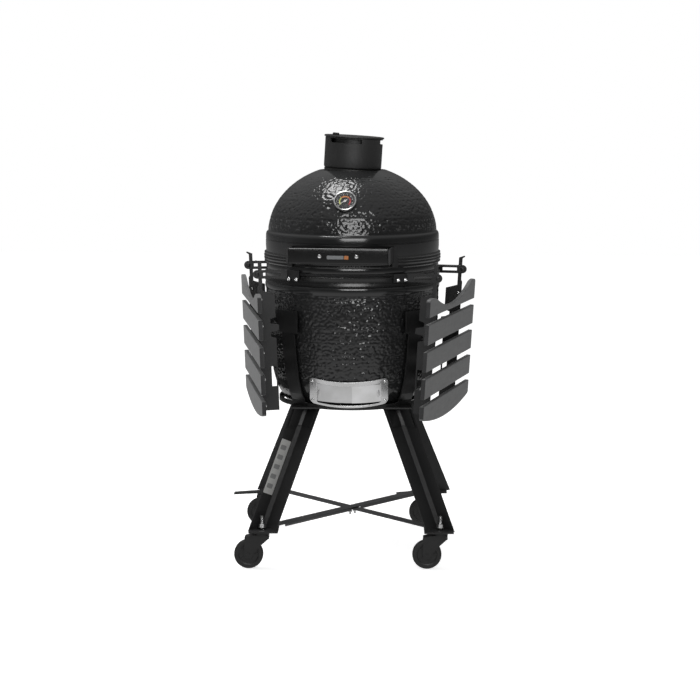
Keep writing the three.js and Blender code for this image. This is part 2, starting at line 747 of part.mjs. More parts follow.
// ---------------------------------------------------------------- side shelves
// Shelf frame: X along the pivot axis from the front end to the rear end, Y outwards, Z up, pivot at the origin.
// It is drawn for the right side; the left side is its mirror image.
function slatOutline(index) {
  const half = shelf.length / 2;
  const bottom = -shelf.firstBottom - index * shelf.pitch;
  const top = bottom + shelf.slatTall;
  const shape = new THREE.Shape();
  if (index === shelf.slats - 1) {
    shape.moveTo(-half, top);
    shape.lineTo(-half, top - 32);
    shape.quadraticCurveTo(-half + 3, top - 35, -half + 10, top - 37);
    shape.quadraticCurveTo(0, bottom - 26, half - 10, top - 37);
    shape.quadraticCurveTo(half - 3, top - 35, half, top - 32);
    shape.lineTo(half, top);
    return shape;
  }
  shape.moveTo(-half, bottom);
  shape.lineTo(half, bottom);
  if (index === 0) {
    shape.lineTo(half, top - 8);
    shape.lineTo(half - 12, top + 2);
    shape.lineTo(half - 70, top - 2);
    shape.quadraticCurveTo(0, bottom - 15, -half + 74, top - 9);
    shape.lineTo(-half + 4, top - 8);
    shape.lineTo(-half, top - 11);
    return shape;
  }
  shape.lineTo(half, top);
  shape.lineTo(-half, top);
  return shape;
}

function makeSlat(index) {
  return slabXZ(slatOutline(index), fit, fit + shelf.slatThick, 5);
}

// A rail seen along the pivot axis: neck and hook above, web with its lock notches below.
function makeRail(x) {
  const { deep, top, bottom, neck, neckBack, tip } = rail;
  const front = neck - neckBack;
  const side = outline([
    [0, -bottom], [0, -34], [front, -29], [front, -9], [5, -7], [7, 0], [5, 7], [front, 9],
    [front, tip], [front + 7, tip + 5], [front + 5, tip + 8],
    [-neckBack, tip + 2], [-neckBack, -top + 6], [-deep, -top - 4], [-deep, -112], [-deep + 14, -116], [-deep + 14, -127],
    [-deep - 8, -132], [-deep - 8, -146], [-deep + 14, -150], [-deep + 14, -162], [-deep, -166], [-deep, -bottom],
  ]);
  const slot = outline([[-39, -290], [-27, -290], [-27, -238], [-39, -238]]);
  const plate = cut(slabYZ(side, x, x + rail.thick), slabYZ(slot, x - 5, x + 10));
  return cut(plate, bar("x", 4.4, -10, 10, [x, 0, 0]));
}

// A fixed arm: a foot bent along the base band, a slotted plate out to the pivot, and the pivot pin.
function makeArm(x, radius, towards) {
  const clear = baseBand.outer + 0.5;
  const half = arm.tall / 2;
  const low = x - fit - arm.thick;
  const inward = Math.sqrt(clear ** 2 - Math.max(Math.abs(low), Math.abs(low + arm.thick)) ** 2) - radius - 1;
  const shape = new THREE.Shape();
  shape.moveTo(inward, -half);
  shape.lineTo(0, -half);
  shape.absarc(0, 0, half, -Math.PI / 2, Math.PI / 2, false);
  shape.lineTo(inward, half);
  const slot = box([low - 5, inward + 22, -4], [low + 10, -15, 4]);
  const plate = cut(slabYZ(shape, low, low + arm.thick), slot);
  const startDeg = THREE.MathUtils.radToDeg(Math.asin((low + arm.thick / 2) / clear));
  const fromDeg = towards < 0 ? startDeg - 10 : startDeg - 0.5;
  const toDeg = towards < 0 ? startDeg + 0.5 : startDeg + 10;
  const tab = moved(arcPlate(clear, clear + 3.5, fromDeg, toDeg, -half, half), bandFrame(radius));
  const within = moved(bar("z", clear, -30, 30, [0, 0, 0], 120), bandFrame(radius));
  const pin = bar("x", 4, low, low + arm.thick + rail.thick + 6);
  return join(cut(join(plate, tab), within), pin);
}

// From plan angles about the grill's axis to the shelf frame, whose origin is radius away from that axis.
function bandFrame(radius) {
  return new THREE.Matrix4().makeTranslation(0, -radius, 0).multiply(turnedAbout("x", 180));
}

function shelfMatrix(side) {
  const angle = rad(side.planDeg);
  const outwards = new THREE.Vector3(Math.sin(angle), -Math.cos(angle), 0);
  const along = new THREE.Vector3(Math.cos(angle), Math.sin(angle), 0);
  const up = new THREE.Vector3(0, 0, 1);
  const origin = outwards.clone().multiplyScalar(side.radius).setZ(side.pivotZ);
  const frame = new THREE.Matrix4().makeBasis(along, outwards, up).setPosition(origin);
  return new THREE.Matrix4().makeScale(side.mirror, 1, 1).multiply(frame);
}

function makeShelf(side) {
  const frame = shelfMatrix(side);
  const hanging = frame.clone().multiply(turnedAbout("x", -side.leanDeg));
  const rails = [["front", shelf.railNear, -1], ["rear", shelf.railFar, 1]];
  const pieces = [];
  for (const [end, x, towards] of rails) {
    const fixed = makeArm(x, side.radius, towards);
    pieces.push(named(`shelf_arm_${side.name}_${end}`, moved(fixed, frame), blackSteel));
    pieces.push(named(`shelf_rail_${side.name}_${end}`, moved(makeRail(x), hanging), blackSteel));
  }
  for (let i = 0; i < shelf.slats; i++) {
    pieces.push(named(`slat_${side.name}_${i + 1}`, moved(makeSlat(i), hanging), slatGrey));
  }
  return groupOf(...pieces);
}

// ---------------------------------------------------------------- assembly
function makeGrill() {
  return groupOf(
    makeDome(),
    makeBase(),
    makeGasket("dome_gasket", domeGasketZ),
    makeGasket("base_gasket", baseGasketZ),
    makeFirebox(),
    makeFireRing(),
    makeCharcoalGrate(),
    makeCookingGrate(),
    makeDomeBand(),
    makeBaseBand(),
    makeHandle(),
    ...makeHinge(),
    makeVentCap(),
    makeThermometer(),
    makeDraft(),
    makeStand(),
    ...sides.map(makeShelf),
  );
}

// Centres the whole grill's box on the origin in plan, with the wheels on z = 0.
function centred(group) {
  group.updateMatrixWorld(true);
  const bounds = new THREE.Box3().setFromObject(group, true);
  const middle = bounds.getCenter(new THREE.Vector3());
  group.position.set(-middle.x, -middle.y, -bounds.min.z);
  return group;
}

const group = centred(makeGrill());
export default group;
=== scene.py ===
# Looks of the kamado grill, built round the imported CAD frame. Sizes below are millimetres
# about the bowl's axis (TO_ROW turns them into the frame's metres); -Y is the front.
import math

import bmesh
import bpy
import numpy as np
from mathutils import Matrix, Vector, noise


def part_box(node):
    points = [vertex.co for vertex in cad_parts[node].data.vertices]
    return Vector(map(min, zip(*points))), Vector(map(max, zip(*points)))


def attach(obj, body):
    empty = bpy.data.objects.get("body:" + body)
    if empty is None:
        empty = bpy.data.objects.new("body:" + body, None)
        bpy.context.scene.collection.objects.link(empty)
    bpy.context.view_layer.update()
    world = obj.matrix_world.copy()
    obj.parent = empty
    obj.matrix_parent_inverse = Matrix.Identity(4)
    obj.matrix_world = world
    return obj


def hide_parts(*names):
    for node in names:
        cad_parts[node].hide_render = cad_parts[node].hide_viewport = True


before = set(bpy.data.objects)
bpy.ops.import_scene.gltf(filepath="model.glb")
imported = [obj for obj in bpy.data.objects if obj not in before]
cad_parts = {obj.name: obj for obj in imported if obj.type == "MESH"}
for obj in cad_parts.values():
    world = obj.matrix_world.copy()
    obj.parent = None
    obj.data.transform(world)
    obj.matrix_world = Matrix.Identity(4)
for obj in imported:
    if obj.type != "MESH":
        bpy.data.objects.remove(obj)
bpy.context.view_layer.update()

# --- frame and driving sizes
band_low, band_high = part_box("base_band")
AXIS = (band_low + band_high) / 2 * 1000  # the bowl's axis in the row frame
TO_ROW = Matrix.Scale(0.001, 4) @ Matrix.Translation((AXIS.x, AXIS.y, 0))

STAND_TURN = 3.7
HANDLE_TURN = -3.3
CAP_LEAN = 3.5
SEGMENTS = 192
SHELL_SEGMENTS = 680

DOME_RIM_Z = 753.9
BUMP_PITCH = 7.2
BUMP_DEPTH = 2.6
DOME_CENTRE_Z = 843
DOME_RADIUS = 220.5
DOME_HEIGHT = 179
BAND_RADIUS = 231.4
BASE_BAND_RADIUS = 229.4


def turn(axis, degrees):
    return Matrix.Rotation(math.radians(degrees), 4, axis)


def shift(x, y, z):
    return Matrix.Translation((x, y, z))


# --- mesh building
class Form:
    """Vertices and faces in millimetres, gathered from simple shapes."""

    def __init__(self):
        self.verts = []
        self.faces = []

    def add(self, verts, faces, place=None):
        start = len(self.verts)
        place = place or Matrix.Identity(4)
        self.verts += [tuple(place @ Vector(v)) for v in verts]
        self.faces += [tuple(start + i for i in face) for face in faces]
        return self

    def lathe(self, profile, segments=64, place=None):
        """A profile of (radius, height) points turned about Z; it ends on the axis or closes on itself."""
        closed = profile[0] == profile[-1]
        points = profile[:-1] if closed else profile
        verts, rings = [], []
        for radius, height in points:
            if radius < 1e-6:
                rings.append([len(verts)] * segments)
                verts.append((0, 0, height))
                continue
            rings.append(list(range(len(verts), len(verts) + segments)))
            for i in range(segments):
                angle = 2 * math.pi * i / segments
                verts.append((radius * math.cos(angle), radius * math.sin(angle), height))
        pairs = list(zip(rings, rings[1:]))
        if closed:
            pairs.append((rings[-1], rings[0]))
        faces = []
        for low, high in pairs:
            for i in range(segments):
                j = (i + 1) % segments
                face = [low[i], low[j], high[j], high[i]]
                face = [v for k, v in enumerate(face) if v != face[k - 1]]
                if len(face) > 2:
                    faces.append(face)
        return self.add(verts, faces, place)

    def prism(self, outline, low, high, place=None):
        """An outline in X and Y given thickness along Z."""
        count = len(outline)
        verts = [(x, y, low) for x, y in outline] + [(x, y, high) for x, y in outline]
        faces = [tuple(reversed(range(count))), tuple(range(count, 2 * count))]
        for i in range(count):
            j = (i + 1) % count
            faces.append((i, j, count + j, count + i))
        return self.add(verts, faces, place)

    def block(self, low, high, place=None):
        (x0, y0, z0), (x1, y1, z1) = low, high
        return self.prism([(x0, y0), (x1, y0), (x1, y1), (x0, y1)], z0, z1, place)

    def rod(self, radius, low, high, place=None, segments=24, round_edge=0.0):
        edge = round_edge
        profile = [(0, low), (radius - edge, low), (radius, low + edge), (radius, high - edge)]
        profile += [(radius - edge, high), (0, high)]
        if not edge:
            profile = [(0, low), (radius, low), (radius, high), (0, high)]
        return self.lathe(profile, segments, place)

    def curved_plate(self, inner, outer, from_deg, to_deg, low, high, place=None, steps=24):
        """A plate bent round Z; plan angles run from the front (-Y) towards +X."""
        angles = [math.radians(from_deg + (to_deg - from_deg) * i / steps) for i in range(steps + 1)]
        ring = [(outer * math.sin(a), -outer * math.cos(a)) for a in angles]
        ring += [(inner * math.sin(a), -inner * math.cos(a)) for a in reversed(angles)]
        verts = [(x, y, low) for x, y in ring] + [(x, y, high) for x, y in ring]
        count = len(ring)
        faces = []
        for i in range(count):
            j = (i + 1) % count
            faces.append((i, j, count + j, count + i))
        for i in range(steps):
            mirror = count - 1 - i
            faces.append((i + 1, i, mirror, mirror - 1))
            faces.append((count + i, count + i + 1, count + mirror - 1, count + mirror))
        return self.add(verts, faces, place)

    def sweep(self, path, radius, segments=10, place=None):
        """A round bar along a list of points, closed at both ends."""
        verts, faces = [], []
        points = [Vector(p) for p in path]
        for k, point in enumerate(points):
            ahead = points[min(k + 1, len(points) - 1)] - points[max(k - 1, 0)]
            side = ahead.cross(Vector((0, 0, 1)))
            if side.length < 1e-6:
                side = ahead.cross(Vector((0, 1, 0)))
            side.normalize()
            lift = side.cross(ahead).normalized()
            for i in range(segments):
                angle = 2 * math.pi * i / segments
                verts.append(tuple(point + radius * (side * math.cos(angle) + lift * math.sin(angle))))
        for k in range(len(points) - 1):
            for i in range(segments):
                j = (i + 1) % segments
                a, b = k * segments, (k + 1) * segments
                faces.append((a + i, a + j, b + j, b + i))
        faces.append(tuple(reversed(range(segments))))
        last = (len(points) - 1) * segments
        faces.append(tuple(range(last, last + segments)))
        return self.add(verts, faces, place)


def rounded(wide, tall, radius, steps=6):
    """The outline of a rectangle with rounded corners, centred on the origin."""
    points = []
    corners = [(1, 1, 0), (-1, 1, 90), (-1, -1, 180), (1, -1, 270)]
    for sx, sy, start in corners:
        for i in range(steps + 1):
            angle = math.radians(start + 90 * i / steps)
            x = sx * (wide / 2 - radius) + radius * math.cos(angle)
            y = sy * (tall / 2 - radius) + radius * math.sin(angle)
            points.append((x, y))
    return points


def bezier(start, control, end, steps=16):
    """A quadratic curve, without its start point."""
    points = []
    for i in range(1, steps + 1):
        t = i / steps
        blend = [(1 - t) ** 2 * s + 2 * t * (1 - t) * c + t * t * e for s, c, e in zip(start, control, end)]
        points.append(tuple(blend))
    return points


def smooth_by_angle(mesh, degrees=35):
    mesh.shade_smooth()
    mesh.set_sharp_from_angle(angle=math.radians(degrees))


def piece(name, form, material, body, replaces=(), bevel=0.0, place=None, bevel_steps=2):
    """Makes an object of a form, in the row frame, riding on a body."""
    mesh = bpy.data.meshes.new(name)
    matrix = TO_ROW @ (place or Matrix.Identity(4))
    mesh.from_pydata([tuple(matrix @ Vector(v)) for v in form.verts], [], form.faces)
    work = bmesh.new()
    work.from_mesh(mesh)
    bmesh.ops.remove_doubles(work, verts=work.verts, dist=1e-6)
    bmesh.ops.recalc_face_normals(work, faces=work.faces)
    work.to_mesh(mesh)
    work.free()
    smooth_by_angle(mesh)
    mesh.materials.append(material)
    obj = bpy.data.objects.new(name, mesh)
    bpy.context.scene.collection.objects.link(obj)
    if bevel:
        add_bevel(obj, bevel, bevel_steps)
    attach(obj, body)
    if replaces:
        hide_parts(*replaces)
    return obj


def paint_ends(obj, material, along):
    """A second material on the flat faces across a long piece's two ends."""
    obj.data.materials.append(material)
    direction = along.normalized()
    for face in obj.data.polygons:
        if abs(face.normal.dot(direction)) > 0.98:
            face.material_index = 1


def add_bevel(obj, width, steps=2):
    bevel = obj.modifiers.new("edges", "BEVEL")
    bevel.width = width / 1000
    bevel.segments = steps
    bevel.limit_method = "ANGLE"
    bevel.angle_limit = math.radians(38)
    bevel.harden_normals = True


def finish_cad(node, material, bevel=0.7):
    """Keeps a CAD node's shape: welds its split corners, rounds its edges and paints it."""
    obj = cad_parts[node]
    weld = obj.modifiers.new("weld", "WELD")
    weld.merge_threshold = 1e-5
    if bevel:
        add_bevel(obj, bevel)
    obj.data.materials.clear()
    obj.data.materials.append(material)


def cut_out(obj, form, place=None):
    """Cuts a form out of an object, for good."""
    matrix = TO_ROW @ (place or Matrix.Identity(4))
    mesh = bpy.data.meshes.new("tool")
    mesh.from_pydata([tuple(matrix @ Vector(v)) for v in form.verts], [], form.faces)
    work = bmesh.new()
    work.from_mesh(mesh)
    bmesh.ops.recalc_face_normals(work, faces=work.faces)
    work.to_mesh(mesh)
    work.free()
    tool = bpy.data.objects.new("tool", mesh)
    bpy.context.scene.collection.objects.link(tool)
    boolean = obj.modifiers.new("cut", "BOOLEAN")
    boolean.operation = "DIFFERENCE"
    boolean.solver = "EXACT"
    boolean.object = tool
    bpy.context.view_layer.update()
    depsgraph = bpy.context.evaluated_depsgraph_get()
    made = bpy.data.meshes.new_from_object(obj.evaluated_get(depsgraph))
    obj.modifiers.remove(boolean)
    obj.data = made
    bpy.data.objects.remove(tool)
    smooth_by_angle(obj.data)


# --- materials
class Nodes:
    """A material's node tree with short calls."""

    def __init__(self, name, **sockets):
        self.material = bpy.data.materials.new(name)
        self.material.use_nodes = True
        self.tree = self.material.node_tree
        self.shader = self.tree.nodes["Principled BSDF"]
        for socket, value in sockets.items():
            self.shader.inputs[socket.replace("_", " ")].default_value = value

    def node(self, kind, **settings):
        made = self.tree.nodes.new(kind)
        for key, value in settings.items():
            setattr(made, key, value)
        return made

    def link(self, source, output, target, socket):
        self.tree.links.new(source.outputs[output], target.inputs[socket])

    def place(self, stretch=(1, 1, 1)):
        """The object's own coordinates, which are the row frame's metres."""
        coords = self.node("ShaderNodeTexCoord")
        mapping = self.node("ShaderNodeMapping")
        mapping.inputs["Scale"].default_value = stretch
        self.link(coords, "Object", mapping, "Vector")
        return mapping

    def noise(self, scale, detail=3.0, rough=0.5, stretch=(1, 1, 1)):
        made = self.node("ShaderNodeTexNoise")
        made.inputs["Scale"].default_value = scale
        made.inputs["Detail"].default_value = detail
        made.inputs["Roughness"].default_value = rough
        self.link(self.place(stretch), "Vector", made, "Vector")
        return made

    def ramp(self, source, output, stops):
        made = self.node("ShaderNodeValToRGB")
        elements = made.color_ramp.elements
        while len(elements) < len(stops):
            elements.new(0.5)
        for element, (position, color) in zip(elements, stops):
            element.position = position
            element.color = color if len(color) == 4 else (*color, 1)
        self.link(source, output, made, "Fac")
        return made

    def spread(self, source, output, low, high):
        """Maps a 0..1 value to the range low..high."""
        made = self.node("ShaderNodeMapRange")
        made.inputs["To Min"].default_value = low
        made.inputs["To Max"].default_value = high
        self.link(source, output, made, "Value")
        return made

    def bump(self, source, output, strength, distance, after=None):
        made = self.node("ShaderNodeBump")
        made.inputs["Strength"].default_value = strength
        made.inputs["Distance"].default_value = distance
        self.link(source, output, made, "Height")
        if after:
            self.link(after, "Normal", made, "Normal")
        self.link(made, "Normal", self.shader, "Normal")
        return made


def glaze_material():
    made = Nodes("charcoal_glaze", Roughness=0.14)
    cloud = made.noise(9, 4)
    color = made.ramp(cloud, "Fac", [(0.3, (0.0215, 0.0218, 0.0222)), (0.75, (0.0265, 0.0268, 0.0274))])
    made.link(color, "Color", made.shader, "Base Color")
    rough = made.spread(made.noise(160, 2), "Fac", 0.1, 0.2)
    made.link(rough, "Result", made.shader, "Roughness")
    made.bump(made.noise(300, 2, 0.45), "Fac", 0.12, 0.0005)
    return made.material


def powder_material(name="black_powder_coat", tone=0.011, roughness=0.42, grain=0.16):
    made = Nodes(name, Roughness=roughness, Metallic=0.0)
    cloud = made.noise(14, 3)
    low, high = tone * 0.8, tone * 1.25
    color = made.ramp(cloud, "Fac", [(0.35, (low, low, low * 1.05)), (0.7, (high, high, high * 1.04))])
    made.link(color, "Color", made.shader, "Base Color")
    rough = made.spread(made.noise(70, 3), "Fac", roughness - 0.08, roughness + 0.1)
    made.link(rough, "Result", made.shader, "Roughness")
    made.bump(made.noise(1100, 2, 0.5), "Fac", grain, 0.0003)
    return made.material


def cast_material():
    made = Nodes("cast_iron_black", Roughness=0.55)
    cloud = made.noise(22, 4)
    color = made.ramp(cloud, "Fac", [(0.3, (0.010, 0.010, 0.0102)), (0.75, (0.015, 0.0149, 0.0148))])
    made.link(color, "Color", made.shader, "Base Color")
    rough = made.spread(made.noise(120, 3), "Fac", 0.42, 0.66)
    made.link(rough, "Result", made.shader, "Roughness")
    coarse = made.bump(made.noise(520, 3, 0.6), "Fac", 0.35, 0.0006)
    made.bump(made.noise(1600, 1), "Fac", 0.2, 0.0003, coarse)
    return made.material


def brushed_material(name="brushed_stainless", stretch=(14, 500, 500), tone=0.62, roughness=0.26):
    made = Nodes(name, Metallic=1.0, Roughness=roughness)
    cloud = made.noise(30, 3)
    low, high = tone * 0.9, tone * 1.06
    color = made.ramp(cloud, "Fac", [(0.3, (low, low, low * 0.995)), (0.75, (high, high, high * 1.01))])
    made.link(color, "Color", made.shader, "Base Color")
    lines = made.noise(1.0, 3, 0.6, stretch)
    rough = made.spread(lines, "Fac", roughness - 0.1, roughness + 0.14)
    made.link(rough, "Result", made.shader, "Roughness")
    made.bump(lines, "Fac", 0.12, 0.0002)
    return made.material


def chrome_material():
    made = Nodes("zinc_plated", Metallic=1.0, Roughness=0.18)
    cloud = made.noise(160, 2)
    color = made.ramp(cloud, "Fac", [(0.3, (0.66, 0.66, 0.65)), (0.75, (0.8, 0.8, 0.81))])
    made.link(color, "Color", made.shader, "Base Color")
    rough = made.spread(made.noise(300, 2), "Fac", 0.12, 0.26)
    made.link(rough, "Result", made.shader, "Roughness")
    return made.material


def slat_material():
    """Grey composite board: a faint long grain and fine pores."""
    made = Nodes("grey_composite", Roughness=0.5)
    grain = made.noise(1.0, 4, 0.6, (60, 10, 160))
    color = made.ramp(grain, "Fac", [(0.25, (0.148, 0.149, 0.15)), (0.75, (0.188, 0.189, 0.19))])
    made.link(color, "Color", made.shader, "Base Color")
    rough = made.spread(made.noise(60, 3), "Fac", 0.42, 0.6)
    made.link(rough, "Result", made.shader, "Roughness")
    made.bump(grain, "Fac", 0.2, 0.0004, made.bump(made.noise(900, 2), "Fac", 0.15, 0.0003))
    return made.material


def grip_material():
    made = Nodes("handle_black", Roughness=0.2)
    cloud = made.noise(18, 3)
    color = made.ramp(cloud, "Fac", [(0.3, (0.0022, 0.0022, 0.0024)), (0.75, (0.0038, 0.0038, 0.004))])
    made.link(color, "Color", made.shader, "Base Color")
    rough = made.spread(made.noise(90, 3), "Fac", 0.16, 0.26)
    made.link(rough, "Result", made.shader, "Roughness")
    made.bump(made.noise(700, 2), "Fac", 0.08, 0.0003)
    return made.material


def wheel_material(name, tone, roughness):
    made = Nodes(name, Roughness=roughness)
    cloud = made.noise(60, 3)
    color = made.ramp(cloud, "Fac", [(0.3, (tone * 0.8,) * 3), (0.75, (tone * 1.3,) * 3)])
    made.link(color, "Color", made.shader, "Base Color")
    rough = made.spread(made.noise(200, 2), "Fac", roughness - 0.1, roughness + 0.1)
    made.link(rough, "Result", made.shader, "Roughness")
    made.bump(made.noise(1200, 2), "Fac", 0.15, 0.0003)
    return made.material


def clay_material():
    made = Nodes("fire_clay", Roughness=0.9)
    cloud = made.noise(24, 5, 0.6)
    color = made.ramp(cloud, "Fac", [(0.3, (0.42, 0.33, 0.24)), (0.7, (0.6, 0.5, 0.38))])
    made.link(color, "Color", made.shader, "Base Color")
    made.bump(made.noise(260, 4, 0.65), "Fac", 0.5, 0.001)
    return made.material


def felt_material():
    made = Nodes("gasket_felt", Roughness=0.95, Sheen_Weight=0.3)
    fibres = made.noise(900, 4, 0.7)
    color = made.ramp(fibres, "Fac", [(0.3, (0.012, 0.012, 0.013)), (0.7, (0.04, 0.04, 0.042))])
    made.link(color, "Color", made.shader, "Base Color")
    made.bump(fibres, "Fac", 0.8, 0.0008)
    return made.material


def glass_material():
    made = Nodes("gauge_glass", Roughness=0.03, Transmission_Weight=1.0, IOR=1.45)
    cloud = made.noise(40, 2)
    color = made.ramp(cloud, "Fac", [(0.2, (0.95, 0.97, 0.97)), (0.8, (1.0, 1.0, 1.0))])
    made.link(color, "Color", made.shader, "Base Color")
    return made.material


def flat_paint(name, color, roughness=0.5):
    """A printed or painted tone with a faint mottle."""
    made = Nodes(name, Roughness=roughness)
    dark = tuple(c * 0.88 for c in color)
    mottle = made.ramp(made.noise(300, 3), "Fac", [(0.3, dark), (0.7, color)])
    made.link(mottle, "Color", made.shader, "Base Color")
    made.bump(made.noise(1500, 2), "Fac", 0.1, 0.0002)
    return made.material


GLAZE = glaze_material()
POWDER = powder_material()
BAND = powder_material("black_band_paint", 0.008, 0.27, 0.06)
# Black paint a touch darker than the other black paints: partly real black paint, partly painted shade for
# the shadow on the cradle under the left shelf and inside the vent cap's windows.
SHADE_DARKENED_BLACK = powder_material("black_paint_with_painted_shade", 0.008, 0.5)
RAIL_BLACK = powder_material("black_rail_paint", 0.018, 0.45)
LEG_BLACK = powder_material("black_leg_paint", 0.009, 0.65)
BRACE_GREY = powder_material("dark_brace_paint", 0.05, 0.4)
CAST = cast_material()
STEEL = brushed_material()
DOOR_STEEL = brushed_material("brushed_door", (10, 420, 700), 0.72, 0.3)
SCREEN_STEEL = brushed_material("brushed_screen", (700, 700, 12), 0.62, 0.42)
GRATE_STEEL = brushed_material("grate_steel", (200, 200, 40), 0.5, 0.32)
ZINC = chrome_material()
SLAT = slat_material()
# A darker tone given to both end faces of every board.
SLAT_END = powder_material("slat_dark_end", 0.035, 0.75, 0.3)
GRIP = grip_material()
TREAD = wheel_material("tread_rubber", 0.009, 0.6)
HUB = wheel_material("hub_plastic", 0.01, 0.45)
CLAY = clay_material()
FELT = felt_material()
GLASS = glass_material()
DIAL_BLACK = flat_paint("dial_black", (0.01, 0.01, 0.012), 0.45)
PRINT_WHITE = flat_paint("print_white", (0.75, 0.75, 0.72))
PRINT_GREEN = flat_paint("print_yellow_green", (0.5, 0.52, 0.12))
PRINT_ORANGE = flat_paint("print_orange", (0.75, 0.25, 0.06))
PRINT_RED = flat_paint("print_red", (0.55, 0.04, 0.04))
NEEDLE_WHITE = flat_paint("needle_white", (0.8, 0.78, 0.76), 0.35)
PLATE_GREY = flat_paint("plate_grey", (0.32, 0.33, 0.34), 0.35)
LABEL_WHITE = flat_paint("label_white", (0.72, 0.72, 0.7), 0.4)
LABEL_GREY = flat_paint("label_grey", (0.35, 0.35, 0.35), 0.45)


# --- glaze relief
def relief(point, amount):
    """Height in millimetres of the hammered glaze: rounded bumps with narrow hollows between them."""
    drift = noise.noise_vector(point * 0.06) * 0.5
    nearest = noise.voronoi(point / BUMP_PITCH + drift)[0][0]
    fine = noise.noise(point * 0.4)
    return amount * (0.35 - BUMP_DEPTH * nearest ** 2 + 0.3 * fine)


def ceramic_form(outer, inner, segments, textured):
    """A ceramic shell; textured(z) says how strong the relief is at a height."""
    form = Form()
    profile = outer + inner
    form.lathe(profile + [profile[0]] if profile[0][0] > 1e-6 else profile, segments)
    shown = set()
    for radius, height in outer:
        shown.add(round(height, 4))
    verts = []
    for x, y, z in form.verts:
        radius = math.hypot(x, y)
        amount = textured(z) if round(z, 4) in shown and radius > 60 else 0.0
        if amount > 0 and is_outer(outer, radius, z):
            grow = 1 + relief(Vector((x, y, z)), amount) / radius
            x, y = x * grow, y * grow
        verts.append((x, y, z))
    form.verts = verts
    return form


def is_outer(outer, radius, z):
    return any(abs(r - radius) < 1e-3 and abs(h - z) < 1e-3 for r, h in outer)


def fade(value, low, high, soft):
    """1 between low and high, falling to 0 over soft beyond each."""
    return max(0.0, min(1.0, (value - low) / soft + 1, (high - value) / soft + 1))


def spline(points, step):
    """A smooth line through the points, resampled about every step millimetres."""
    result = [points[0]]
    for k in range(len(points) - 1):
        p0 = points[max(k - 1, 0)]
        p1, p2 = points[k], points[k + 1]
        p3 = points[min(k + 2, len(points) - 1)]
        count = max(1, round(math.dist(p1, p2) / step))
        for i in range(1, count + 1):
            t = i / count
            row = []
            for a, b, c, d in zip(p0, p1, p2, p3):
                row.append(0.5 * (2 * b + (c - a) * t + (2 * a - 5 * b + 4 * c - d) * t * t
                                  + (3 * b - a - 3 * c + d) * t ** 3))
            result.append(tuple(row))
    return result


def dome_arc(radius, height, from_z, to_radius, count):
    start = math.asin((from_z - DOME_CENTRE_Z) / height)
    end = math.acos(to_radius / radius)
    angles = [start + (end - start) * i / count for i in range(count + 1)]
    return [(radius * math.cos(a), DOME_CENTRE_Z + height * math.sin(a)) for a in angles]


def make_dome():
    ledge = [(225.8, 799), (226.7, 812), (226.7, 827.5), (225.4, 828.6), (225.4, 829.8), (226.6, 831)]
    ledge += [(226.2, 842), (225.2, 846), (223.4, 848.6), (221.6, 850)]
    lip = [(201, DOME_RIM_Z), (223.4, DOME_RIM_Z), (224.8, 755), (225.4, 757.5), (225.7, 762), (225.2, 766)]
    lip += [(224.6, 768.5), (225.5, 770.6), (227.2, 771.1), (227.2, 796.9)]
    slope = dome_arc(DOME_RADIUS, DOME_HEIGHT, 852, 86.5, 112)
    neck = [(84, 1003.4), (80.5, 1001.5), (78.2, 1001.8), (78, 1003), (77, 1004), (57, 1004), (55, 1002)]
    inside = list(reversed(dome_arc(199, 157, DOME_CENTRE_Z, 55, 32)))
    outer = lip + ledge + slope + neck
    textured = lambda z: fade(z, 862, 990, 9)
    form = ceramic_form(outer, inside, SHELL_SEGMENTS, textured)
    piece("dome_shell", form, GLAZE, "lid", ["dome"])


def make_base():
    foot = [(0, 394), (110, 394), (118, 394)]
    wall = spline([(118, 394), (150, 396), (174, 407), (195, 440), (207, 478), (217.5, 538), (224.4, 612),
                   (226.4, 700)], 2.2)
    rim = [(227.6, 703.4), (228.5, 706), (228.8, 710), (228.8, 714), (228.2, 717.6), (226.8, 719.6)]
    rim += [(225.9, 721), (225.9, 745.2), (224.4, 747), (203, 747)]
    inner = [(202, 745.6), (200, 640), (190, 520), (176, 450), (150, 412), (0, 406)]
    outer = foot + wall[1:] + rim
    textured = lambda z: 1.3 * fade(z, 480, 690, 12) + 0.3 * fade(z, 400, 460, 20)
    form = ceramic_form(outer, inner, SHELL_SEGMENTS, textured)
    shell = piece("base_shell", form, GLAZE, "stand", ["base"])
    doorway = Form().block((-93, -260, -27), (93, -110, 27))
    cut_out(shell, doorway, DRAFT_FRAME)


def make_gaskets():
    for name, low, body in (("dome_gasket", 750.6, "lid"), ("base_gasket", 747.3, "stand")):
        high = low + 3
        profile = [(203, low + 0.6), (204, low), (222, low), (223, low + 0.8), (223, high - 0.8),
                   (222, high)]
        profile += [(204, high), (203, high - 0.6), (203, low + 0.6)]
        piece(f"{name}_felt", Form().lathe(profile, 128), FELT, body, [name])


# --- fasteners
def out_of(plan_deg, radius, z, elevation=0.0):
    """A place on the grill whose local Z points outwards at a plan angle from the front."""
    return (turn("Z", plan_deg) @ shift(0, -radius, z) @ turn("X", 90 - elevation))


def pan_head(form, place, radius=4.6, high=3.0, socket=True):
    """A domed button head with a hex socket."""
    profile = [(0, 0), (radius, 0), (radius, 0.6)]
    profile += [(radius * math.cos(a), 0.6 + (high - 0.6) * math.sin(a)) for a in (0.35, 0.7, 1.0)]
    inner = radius * 0.42
    if socket:
        profile += [(inner, high), (inner * 0.96, high - 1.6), (0, high - 1.6)]
    else:
        profile += [(inner, high), (0, high + 0.1)]
    form.lathe(profile, 20, place)


def hex_nut(form, place, across=10.0, high=5.0):
    radius = across / math.sqrt(3)
    angles = [math.radians(60 * i) for i in range(6)]
    outline = [(radius * math.cos(a), radius * math.sin(a)) for a in angles]
    form.prism(outline, 0, high, place)


